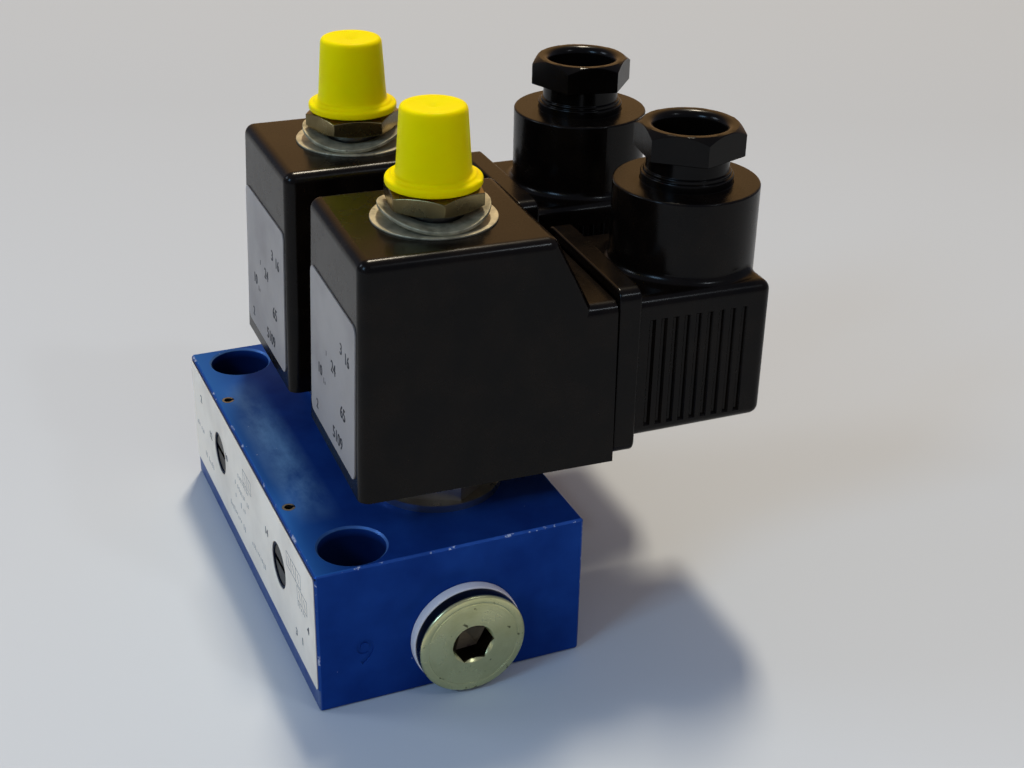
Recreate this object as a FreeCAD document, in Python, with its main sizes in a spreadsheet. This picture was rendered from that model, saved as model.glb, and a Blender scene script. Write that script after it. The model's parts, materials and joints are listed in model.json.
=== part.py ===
import FreeCAD, Part
import math
import os
import Sketcher
from enum import IntEnum, auto

# Two direct acting solenoid valves on one anodised block.
# Frame: millimetres, origin at the middle of the block's footprint, +Z up,
# +X along the gallery towards the blanking plug, -Y towards the labelled face.
# A solenoid's own frame stands on the block's top face, with Z on its tube's axis.

SIZES = {
    # Valve block and its drillings
    "block_length": 80.0,
    "block_width": 44.5,
    "block_height": 25.4,
    "block_edge": 0.35,
    "station_pitch": 39.0,
    "station_back": 4.7,
    "mount_spacing": 67.6,
    "mount_front": 7.85,
    "mount_hole_radius": 3.3,
    "mount_head_radius": 5.35,
    "mount_head_depth": 12.0,
    "mount_mouth": 0.3,
    "gallery_back": 1.8,
    "gallery_level": 9.35,
    "gallery_radius": 3.4,
    "supply_radius": 5.9,
    "supply_depth": 12.0,
    "supply_mouth": 0.6,
    "outlet_radius": 4.4,
    "outlet_wall": 0.15,
    "outlet_drop": 3.2,
    "outlet_mouth": 0.5,
    "outlet_passage_radius": 1.0,
    "outlet_passage_rise": 1.2,
    "chamber_radius": 6.4,
    "seat_depth": 8.9,
    "seat_height": 1.5,
    "seat_radius": 2.0,
    "orifice_radius": 0.8,
    "thread_gap": 0.05,
    "end_gap": 0.5,
    # Label on the block
    "plate_thickness": 0.2,
    "plate_left": 39.5,
    "plate_right": 38.6,
    "plate_low": 4.5,
    "plate_high": 24.5,
    "plate_corner": 2.0,
    "plate_window_radius": 3.9,
    # Manual override and its roll pin
    "override_depth": 10.6,
    "override_bore_radius": 3.5,
    "override_bore_depth": 17.3,
    "override_gap": 0.1,
    "override_recess": 0.15,
    "override_neck_radius": 2.2,
    "override_slot_width": 1.0,
    "override_slot_depth": 1.2,
    "cam_radius": 1.5,
    "cam_gap": 0.1,
    "cam_flat": 0.7,
    "cam_reach": 23.25,
    "ring_groove_front": 9.3,
    "ring_groove_width": 1.5,
    "ring_groove_radius": 2.3,
    "roll_pin_radius": 1.05,
    "roll_pin_front": 1.95,
    "roll_pin_wall": 0.35,
    "roll_pin_slit": 0.5,
    "roll_pin_gap": 0.05,
    "roll_pin_tip_gap": 0.1,
    # Blanking plug
    "plug_ring_radius": 9.1,
    "plug_ring_thickness": 2.28,
    "plug_ring_bore": 6.7,
    "plug_head_radius": 8.87,
    "plug_head_thickness": 1.86,
    "plug_head_edge": 0.4,
    "plug_shank": 9.0,
    "plug_socket_flats": 6.1,
    "plug_socket_depth": 3.6,
    "plug_socket_mouth": 0.45,
    # Armature tube and its seal
    "tube_radius": 6.5,
    "tube_bore": 5.6,
    "tube_top": 45.9,
    "spigot_radius": 7.7,
    "spigot_length": 6.5,
    "collar_radius": 10.9,
    "collar_height": 1.2,
    "tube_flats": 17.6,
    "tube_hex_turn": 6.0,
    "coil_seat": 7.3,
    "base_ring_section": 0.65,
    "base_ring_gap": 0.1,
    "base_ring_recess": 1.4,
    # Fixed core with its threaded stud
    "core_face": 26.0,
    "core_gap": 0.05,
    "core_nose_radius": 1.8,
    "core_nose_height": 0.3,
    "stud_radius": 4.9,
    "stud_top": 55.2,
    "stud_edge": 0.6,
    "exhaust_radius": 1.0,
    "exhaust_port_radius": 2.1,
    "exhaust_port_depth": 7.0,
    # Armature, its seals and spring
    "armature_gap": 0.15,
    "armature_travel": 1.2,
    "armature_flat": 0.7,
    "armature_edge": 0.4,
    "seal_stand": 0.2,
    "seal_gap": 0.02,
    "lower_seal_radius": 3.0,
    "lower_seal_depth": 1.8,
    "upper_seal_radius": 2.0,
    "upper_seal_depth": 1.8,
    "seal_fit": 0.03,
    "spring_wire": 0.3,
    "spring_radius": 3.45,
    "spring_turns": 4.0,
    "spring_well": 8.0,
    "spring_side_gap": 0.3,
    # Coil
    "coil_height": 39.0,
    "coil_half_top": 14.65,
    "coil_draft": 1.17,
    "coil_front": 15.9,
    "coil_crest": 14.6,
    "coil_slope_foot": 20.4,
    "coil_ledge": 27.3,
    "coil_rear": 24.7,
    "coil_round": 1.8,
    "coil_wall": 1.85,
    "coil_front_wall": 4.6,
    "coil_back_wall": 3.3,
    "coil_roof": 1.3,
    "coil_clear": 0.15,
    "yoke_thickness": 2.2,
    "bobbin_wall": 0.75,
    "bobbin_flange": 1.2,
    "bobbin_gap": 0.1,
    "winding_gap": 0.15,
    "winding_radius": 9.9,
    "blade_width": 6.3,
    "blade_thickness": 0.8,
    "blade_reach": 9.5,
    "blade_spacing": 18.0,
    "blade_gap": 0.1,
    "earth_drop": 9.0,
    "coil_plate_width": 26.0,
    "coil_plate_low": 2.5,
    "coil_plate_height": 25.8,
    "coil_plate_corner": 1.5,
    "coil_plate_thickness": 0.2,
    # Washers, nut and cap on the stud
    "washer_radius": 9.85,
    "washer_thickness": 0.3,
    "washer_gap": 0.2,
    "wave_radius": 8.66,
    "wave_thickness": 0.6,
    "wave_lift": 2.2,
    "nut_flats": 14.0,
    "nut_height": 2.6,
    "nut_relief": 0.4,
    "nut_corner": 0.45,
    "cap_gap": 0.3,
    "cap_flange_radius": 7.5,
    "cap_flange": 1.3,
    "cap_root_radius": 5.75,
    "cap_flare": 1.3,
    "cap_tip_radius": 5.1,
    "cap_height": 12.3,
    "cap_mouth_gap": 0.55,
    "cap_draft": 0.75,
    "cap_roof": 0.9,
    "cap_edge": 0.6,
    # Cable plug
    "gasket_thickness": 0.3,
    "gasket_frame": 2.2,
    "gasket_inset": 0.6,
    "flange_half": 15.0,
    "flange_low": 0.3,
    "flange_top": 29.1,
    "flange_thickness": 3.8,
    "flange_corner": 2.0,
    "flange_edge": 0.45,
    "hood_half": 14.0,
    "hood_low": 2.3,
    "hood_rise": 0.4,
    "hood_top": 26.9,
    "hood_length": 23.4,
    "hood_round": 1.8,
    "hood_wall": 2.0,
    "rib_start": 31.25,
    "rib_pitch": 2.02,
    "rib_count": 9,
    "rib_floor": 0.4,
    "rib_slope": 35.0,
    "rib_depth": 0.5,
    "rib_low": 4.7,
    "rib_high": 22.8,
    "turret_back": 17.6,
    "turret_radius": 11.9,
    "turret_height": 13.4,
    "turret_skirt": 4.2,
    "turret_bore": 7.6,
    "turret_seat": 2.3,
    "turret_throat": 5.5,
    "turret_root": 1.5,
    "turret_edge": 0.35,
    "insert_gap": 0.25,
    "insert_front": 2.0,
    "insert_length": 10.5,
    "contact_wall": 0.7,
    "contact_length": 8.0,
    "contact_gap": 0.1,
    "screw_radius": 1.5,
    "screw_gap": 0.2,
    "screw_thread": 6.0,
    "screw_head_radius": 2.8,
    "screw_head": 1.8,
    "screw_head_sink": 1.2,
    "screw_slot_width": 0.8,
    "screw_slot_depth": 0.9,
    # Cable gland
    "gland_collar_radius": 7.5,
    "gland_collar": 1.4,
    "gland_ring_radius": 7.05,
    "gland_ring": 0.6,
    "gland_barrel_radius": 6.7,
    "gland_barrel": 2.7,
    "gland_flats": 15.7,
    "gland_hex": 4.7,
    "gland_corner": 1.1,
    "gland_bore": 5.35,
    "gland_mouth": 1.15,
    "gland_washer": 0.8,
    "gland_washer_bore": 4.6,
    "gland_seal": 5.0,
    "gland_seal_bore": 4.0,
    "gland_gap": 0.1,
    # Turn of each piece about its own upright axis, in degrees
    "yaw_right": -2.5,
    "yaw_left": -1.3,
    "nut_turn_right": -6.5,
    "nut_turn_left": 20.0,
    "wave_turn_right": -4.0,
    "wave_turn_left": -24.0,
    "gland_turn_right": -7.0,
    "gland_turn_left": 21.0,
}

REACH = 0.1
ROOT_THREE = math.sqrt(3.0)


class Spot(IntEnum):
    """Points of a line or an arc, as a sketch counts them."""

    FIRST = auto()
    SECOND = auto()
    CENTRE = auto()


FIRST, SECOND, CENTRE = Spot
ORIGIN, ACROSS_AXIS = -1, -2


class Length:
    """A number together with the sheet expression that it stands for."""

    def __init__(self, number, text):
        self.number = float(number)
        self.text = text

    def joined(self, sign, other, swapped=False):
        """Combine with a length or a plain number under one of + - * /."""
        if not isinstance(other, Length):
            other = Length(other, repr(float(other)))
        left, right = (other, self) if swapped else (self, other)
        number = {
            "+": lambda a, b: a + b,
            "-": lambda a, b: a - b,
            "*": lambda a, b: a * b,
            "/": lambda a, b: a / b,
        }[sign](left.number, right.number)
        return Length(number, "(%s %s %s)" % (left.text, sign, right.text))

    def __add__(self, other):
        return self.joined("+", other)

    def __radd__(self, other):
        return self.joined("+", other, swapped=True)

    def __sub__(self, other):
        return self.joined("-", other)

    def __rsub__(self, other):
        return self.joined("-", other, swapped=True)

    def __mul__(self, other):
        return self.joined("*", other)

    def __rmul__(self, other):
        return self.joined("*", other, swapped=True)

    def __truediv__(self, other):
        return self.joined("/", other)

    def __neg__(self):
        return Length(-self.number, "(-1 * %s)" % self.text)


class Sheet:
    """The spreadsheet of driving sizes, read back as lengths by name."""

    def __init__(self, document, sizes):
        self.cells = document.addObject("Spreadsheet::Sheet", "Sizes")
        for row, (name, number) in enumerate(sizes.items(), start=1):
            self.cells.set("A%d" % row, name.replace("_", " "))
            self.cells.set("B%d" % row, str(number))
            self.cells.setAlias("B%d" % row, name)
        document.recompute()

    def __getattr__(self, name):
        return Length(self.cells.get(name), "Sizes." + name)


doc = FreeCAD.newDocument("solenoid_valve")
size = Sheet(doc, SIZES)
pieces = []


def drive(thing, path, value):
    """Bind a property to a length, or set a plain number."""
    if isinstance(value, Length):
        thing.setExpression(path, value.text)
    else:
        thing.setExpression(path, repr(float(value)))


def number(value):
    """The plain number of a length or a number."""
    return value.number if isinstance(value, Length) else float(value)


class Sketch:
    """A sketch on one of its body's own origin planes, raised along the plane's normal."""

    def __init__(self, body, name, role, lift=0):
        self.item = body.newObject("Sketcher::SketchObject", name)
        base = [part for part in body.Origin.OriginFeatures if part.Role == role][0]
        self.item.AttachmentSupport = (base, [""])
        self.item.MapMode = "FlatFace"
        drive(self.item, "AttachmentOffset.Base.z", lift)

    def measure(self, kind, value, *where):
        """Add one dimension and bind it to its length."""
        at = self.item.addConstraint(Sketcher.Constraint(kind, *where, number(value)))
        drive(self.item, "Constraints[%d]" % at, value)

    def pin(self, curve, end, across, up):
        """Hold a point of the sketch at a distance from the origin."""
        if isinstance(across, Length):
            self.measure("DistanceX", across, ORIGIN, FIRST, curve, end)
        else:
            self.item.addConstraint(Sketcher.Constraint("PointOnObject", curve, end, ACROSS_AXIS))
        if isinstance(up, Length):
            self.measure("DistanceY", up, ORIGIN, FIRST, curve, end)
        else:
            self.item.addConstraint(Sketcher.Constraint("PointOnObject", curve, end, ORIGIN))

    def line(self, start, end):
        """Add one straight line."""
        ends = [FreeCAD.Vector(number(point[0]), number(point[1]), 0) for point in (start, end)]
        return self.item.addGeometry(Part.LineSegment(*ends), False)

    def outline(self, points):
        """Add a closed outline of straight lines through points of (across, up)."""
        lines = [self.line(point, points[at - len(points) + 1]) for at, point in enumerate(points)]
        for at, line in enumerate(lines):
            following = lines[at - len(lines) + 1]
            self.item.addConstraint(Sketcher.Constraint("Coincident", line, SECOND, following, FIRST))
        for line, point in zip(lines, points):
            self.pin(line, FIRST, *point)
        return self

    def box(self, left, right, low, high):
        """Add a rectangle."""
        return self.outline([(left, low), (right, low), (right, high), (left, high)])

    def circle(self, across, up, radius):
        """Add a circle."""
        centre = FreeCAD.Vector(number(across), number(up), 0)
        axis = FreeCAD.Vector(0, 0, 1)
        at = self.item.addGeometry(Part.Circle(centre, axis, number(radius)), False)
        self.measure("Radius", radius, at)
        self.pin(at, CENTRE, across, up)
        return self

    def hexagon(self, flats):
        """Add a regular hexagon with two corners on the level through its centre."""
        reach, half = flats / ROOT_THREE, flats / 2
        corners = [
            (reach, 0),
            (reach / 2, half),
            (-reach / 2, half),
            (-reach, 0),
            (-reach / 2, -half),
            (reach / 2, -half),
        ]
        return self.outline(corners)


class Piece:
    """One physical piece: a body with its features, its label and its place."""

    def __init__(self, label):
        self.body = doc.addObject("PartDesign::Body", "body_" + label)
        self.body.Label = label
        self.label = label
        self.volume = 0.0
        pieces.append(self.body)

    def sketch(self, role, lift=0):
        """Start a sketch on one of the origin planes."""
        return Sketch(self.body, "outline_of_" + self.label, role, lift)

    def feature(self, kind, profile=None):
        """Add a feature at the tip of the body."""
        item = self.body.newObject("PartDesign::" + kind, kind.lower() + "_of_" + self.label)
        if profile is not None:
            item.Profile = profile.item
        return item

    def pad(self, profile, length, backwards=False, both=False):
        """Thicken a profile along its normal, against it, or to both sides."""
        item = self.feature("Pad", profile)
        drive(item, "Length", length)
        item.Midplane = both
        item.Reversed = backwards
        return self.settle(item, 1)

    def pocket(self, profile, length, backwards=False, both=False, slope=None):
        """Cut a profile against its normal, along it, or to both sides, with walls that may lean out."""
        item = self.feature("Pocket", profile)
        drive(item, "Length", length)
        if slope is not None:
            drive(item, "TaperAngle", slope)
        item.Midplane = both
        item.Reversed = backwards
        return self.settle(item, -1)

    def spin(self, profile, axis="V_Axis", kind="Revolution"):
        """Turn a profile round one of its sketch's axes, adding or cutting."""
        item = self.feature(kind, profile)
        item.ReferenceAxis = (profile.item, [axis])
        item.Angle = 360
        return self.settle(item, 1 if kind == "Revolution" else -1)

    def loft(self, lower, upper):
        """Join two profiles by straight walls."""
        item = self.feature("AdditiveLoft", lower)
        item.Sections = [upper.item]
        item.Ruled = True
        return self.settle(item, 1)

    def row(self, original, profile, axis, count, pitch):
        """Repeat a feature in a row along an axis of its sketch."""
        item = self.body.newObject("PartDesign::LinearPattern", "row_of_" + self.label)
        item.Originals = [original]
        item.Direction = (profile.item, [axis])
        drive(item, "Occurrences", count)
        drive(item, "Length", pitch * (count - 1))
        return self.settle(item, 0)

    def dress(self, kind, value, chosen, path):
        """Round or chamfer the edges that a test picks."""
        before = self.body.Tip
        edges = enumerate(before.Shape.Edges, 1)
        names = ["Edge%d" % at for at, edge in edges if not edge.Degenerated and chosen(edge)]
        if not names:
            raise ValueError("no edge to dress on " + self.label)
        item = self.feature(kind)
        item.Base = (before, names)
        drive(item, path, value)
        return self.settle(item, 0)

    def fillet(self, radius, chosen):
        """Round the edges that a test picks."""
        return self.dress("Fillet", radius, chosen, "Radius")

    def chamfer(self, width, chosen):
        """Chamfer the edges that a test picks."""
        return self.dress("Chamfer", width, chosen, "Size")

    def settle(self, item, change):
        """Make a feature the tip, and see that it adds or removes material as meant."""
        self.body.Tip = item
        doc.recompute()
        if item.Shape.isNull():
            raise ValueError("%s of %s has no shape" % (item.Name, self.label))
        volume = item.Shape.Volume
        if change and (volume - self.volume) * change <= 0:
            raise ValueError("%s of %s changes nothing" % (item.Name, self.label))
        self.volume = volume
        return item

    def place(self, across=0, back=0, up=0, turn=0):
        """Bind the placement: a position and a turn about +Z."""
        put(self.body, across, back, up, turn)
        return self.body


def put(item, across, back, up, turn):
    """Bind an object's placement to lengths and a turn about +Z."""
    item.Placement = FreeCAD.Placement(
        FreeCAD.Vector(0, 0, 0), FreeCAD.Rotation(FreeCAD.Vector(0, 0, 1), 0)
    )
    drive(item, "Placement.Base.x", across)
    drive(item, "Placement.Base.y", back)
    drive(item, "Placement.Base.z", up)
    drive(item, "Placement.Rotation.Angle", turn)


def middle(edge):
    """The middle point of an edge."""
    first, last = edge.ParameterRange
    return edge.valueAt((first + last) / 2)


def upright(edge):
    """Whether an edge is a straight line along Z, or nearly so."""
    if edge.Curve.TypeId != "Part::GeomLine":
        return False
    return abs(edge.tangentAt(edge.FirstParameter).z) > 0.99


def backward(edge):
    """Whether an edge is a straight line along Y, or nearly so."""
    if edge.Curve.TypeId != "Part::GeomLine":
        return False
    return abs(edge.tangentAt(edge.FirstParameter).y) > 0.9


def rim(edge, radius):
    """Whether an edge is a circle of the given radius."""
    return edge.Curve.TypeId == "Part::GeomCircle" and near(edge.Curve.Radius, radius)


def near(left, right, slack=0.02):
    """Whether two measures agree."""
    return abs(number(left) - number(right)) < slack


def block_body():
    """Valve block with its gallery, ports, chambers, seats and fixing holes."""
    piece = Piece("valve_block")
    length, width, height = size.block_length, size.block_width, size.block_height
    piece.pad(piece.sketch("XY_Plane").box(-length / 2, length / 2, -width / 2, width / 2), height)
    piece.chamfer(size.block_edge, lambda edge: True)
    stations = [size.station_pitch / 2, -size.station_pitch / 2]
    back = size.station_back

    def down(across, behind, radius, top, bottom, island=None):
        """Drill from one level down to another at each station or fixing hole."""
        profile = piece.sketch("XY_Plane", top)
        for at in across:
            profile.circle(at, behind, radius)
            if island is not None:
                profile.circle(at, behind, island)
        piece.pocket(profile, top - bottom)

    fixings = [size.mount_spacing / 2, -size.mount_spacing / 2]
    fixing_line = size.mount_front - width / 2
    down(fixings, fixing_line, size.mount_head_radius, height, height - size.mount_head_depth)
    down(fixings, fixing_line, size.mount_hole_radius, height, Length(0, "0"))
    thread = size.spigot_radius + size.thread_gap
    ring_reach = base_ring_reach() + size.base_ring_section + size.base_ring_gap
    down(stations, back, ring_reach, height, height - size.base_ring_recess)
    down(stations, back, thread, height, height - size.spigot_length - size.end_gap)
    seat = seat_level()
    floor = seat - size.seat_height
    down(stations, back, size.chamber_radius, height - size.spigot_length, seat)
    down(stations, back, size.chamber_radius, seat, floor, size.seat_radius)
    for end, backwards in ((1, False), (-1, True)):
        mouth = piece.sketch("YZ_Plane", end * length / 2)
        mouth.circle(size.gallery_back, size.gallery_level, size.supply_radius)
        piece.pocket(mouth, size.supply_depth, backwards)
    gallery = piece.sketch("YZ_Plane").circle(size.gallery_back, size.gallery_level, size.gallery_radius)
    piece.pocket(gallery, length, both=True)
    down(stations, back, size.orifice_radius, seat, size.gallery_level)
    front = piece.sketch("XZ_Plane", width / 2)
    cam = piece.sketch("XZ_Plane", width / 2)
    rear = piece.sketch("XZ_Plane", -width / 2)
    passage = piece.sketch("XZ_Plane", -width / 2)
    crossing = floor + size.outlet_passage_rise
    for at in stations:
        front.circle(at, override_level(), size.override_bore_radius)
        cam.circle(at, override_level(), size.cam_radius + size.cam_gap)
        rear.circle(at, crossing - size.outlet_drop, size.outlet_radius)
        passage.circle(at, crossing, size.outlet_passage_radius)
    piece.pocket(front, size.override_bore_depth)
    piece.pocket(cam, size.cam_reach + size.end_gap)
    piece.pocket(rear, width / 2 - back - size.chamber_radius - size.outlet_wall, backwards=True)
    piece.pocket(passage, width / 2 - back - size.chamber_radius / 2, backwards=True)
    pin_bore = size.roll_pin_radius + size.roll_pin_gap
    down(stations, size.roll_pin_front - width / 2, pin_bore, height, override_level())
    piece.chamfer(
        size.mount_mouth,
        lambda edge: rim(edge, size.mount_head_radius) and near(middle(edge).z, height),
    )
    piece.chamfer(
        size.supply_mouth,
        lambda edge: rim(edge, size.supply_radius) and near(abs(middle(edge).x), length / 2),
    )
    piece.chamfer(
        size.outlet_mouth,
        lambda edge: rim(edge, size.outlet_radius) and near(middle(edge).y, width / 2),
    )
    piece.place()


def seat_level():
    """Level of the valve seats, below the block's top by the chamber's depth."""
    return size.block_height - size.seat_depth


def override_level():
    """Level of the manual overrides, set by the seats that they work under."""
    return size.block_height - size.override_depth


def base_ring_reach():
    """Mean radius of the seal ring round the tube's spigot."""
    return size.spigot_radius + size.base_ring_section + size.base_ring_gap


def block_plate():
    """Thin label over the block's front face, cut out round the overrides."""
    piece = Piece("block_label")
    profile = piece.sketch("XZ_Plane", size.block_width / 2)
    profile.box(-size.plate_left, size.plate_right, size.plate_low, size.plate_high)
    for side in (1, -1):
        profile.circle(side * size.station_pitch / 2, override_level(), size.plate_window_radius)
    piece.pad(profile, size.plate_thickness)
    piece.fillet(
        size.plate_corner,
        lambda edge: backward(edge) and near(middle(edge).x, size.plate_right),
    )
    piece.place()


def blanking_plug():
    """Screw plug with a round head and a hexagon socket, and its sealing ring."""
    ring = Piece("plug_sealing_ring")
    face, ring_end = size.block_length / 2, size.block_length / 2 + size.plug_ring_thickness
    head_end = ring_end + size.plug_head_thickness
    profile = ring.sketch("XZ_Plane")
    profile.box(face, ring_end, size.plug_ring_bore, size.plug_ring_radius)
    ring.spin(profile, "H_Axis")
    ring.place(0, size.gallery_back, size.gallery_level)
    plug = Piece("blanking_plug")
    shank = size.supply_radius - size.thread_gap
    edge = size.plug_head_edge
    start = ring_end - size.plug_ring_thickness - size.plug_shank
    profile = plug.sketch("XZ_Plane")
    profile.outline([
        (start, 0),
        (start, shank - edge),
        (start + edge, shank),
        (ring_end, shank),
        (ring_end, size.plug_head_radius),
        (head_end - edge, size.plug_head_radius),
        (head_end, size.plug_head_radius - edge),
        (head_end, 0),
    ])
    plug.spin(profile, "H_Axis")
    plug.pocket(plug.sketch("YZ_Plane", head_end).hexagon(size.plug_socket_flats), size.plug_socket_depth)
    reach = size.plug_socket_flats / ROOT_THREE
    mouth = plug.sketch("XZ_Plane")
    mouth.outline([
        (head_end, 0),
        (head_end, reach + size.plug_socket_mouth),
        (head_end - reach - size.plug_socket_mouth, 0),
    ])
    plug.spin(mouth, "H_Axis", "Groove")
    plug.place(0, size.gallery_back, size.gallery_level)


def override(side, name):
    """Turning manual override: slotted screw with a retaining neck, a seal ring and a cam pin."""
    face = -size.block_width / 2
    body = size.override_bore_radius - size.override_gap
    front = face + size.override_recess
    neck_gap = size.roll_pin_gap * 2
    neck_front = face + size.roll_pin_front - size.roll_pin_radius - neck_gap
    neck_back = face + size.roll_pin_front + size.roll_pin_radius + neck_gap
    groove = face + size.ring_groove_front
    cam_start = face + size.override_bore_depth - size.end_gap
    piece = Piece("override_screw_" + name)
    profile = piece.sketch("YZ_Plane")
    profile.outline([
        (front, 0),
        (front, body),
        (neck_front, body),
        (neck_front, size.override_neck_radius),
        (neck_back, size.override_neck_radius),
        (neck_back, body),
        (groove, body),
        (groove, size.ring_groove_radius),
        (groove + size.ring_groove_width, size.ring_groove_radius),
        (groove + size.ring_groove_width, body),
        (cam_start, body),
        (cam_start, size.cam_radius),
        (face + size.cam_reach, size.cam_radius),
        (face + size.cam_reach, 0),
    ])
    piece.spin(profile, "H_Axis")
    flat = piece.sketch("YZ_Plane")
    flat.box(cam_start, face + size.cam_reach + size.end_gap, size.cam_flat, size.cam_radius * 2)
    piece.pocket(flat, size.cam_radius * 4, both=True)
    slot = piece.sketch("XZ_Plane", -front)
    slot.box(-body * 2, body * 2, -size.override_slot_width / 2, size.override_slot_width / 2)
    piece.pocket(slot, size.override_slot_depth)
    piece.place(side * size.station_pitch / 2, 0, override_level())
    section = (body - size.ring_groove_radius) / 2
    ring = Piece("override_o_ring_" + name)
    profile = ring.sketch("YZ_Plane")
    profile.circle(groove + size.ring_groove_width / 2, size.ring_groove_radius + section, section)
    ring.spin(profile, "H_Axis")
    ring.place(side * size.station_pitch / 2, 0, override_level())
    pin = Piece("roll_pin_" + name)
    low = override_level() + size.override_neck_radius + size.roll_pin_tip_gap
    profile = pin.sketch("XY_Plane", low)
    profile.circle(0, 0, size.roll_pin_radius)
    profile.circle(0, 0, size.roll_pin_radius - size.roll_pin_wall)
    pin.pad(profile, size.block_height - low)
    slit = pin.sketch("XY_Plane", size.block_height)
    half = size.roll_pin_slit / 2
    slit.box(-half, half, size.roll_pin_radius / 2, size.roll_pin_radius * 2)
    pin.pocket(slit, size.block_height)
    pin.place(side * size.station_pitch / 2, size.roll_pin_front - size.block_width / 2)


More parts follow.
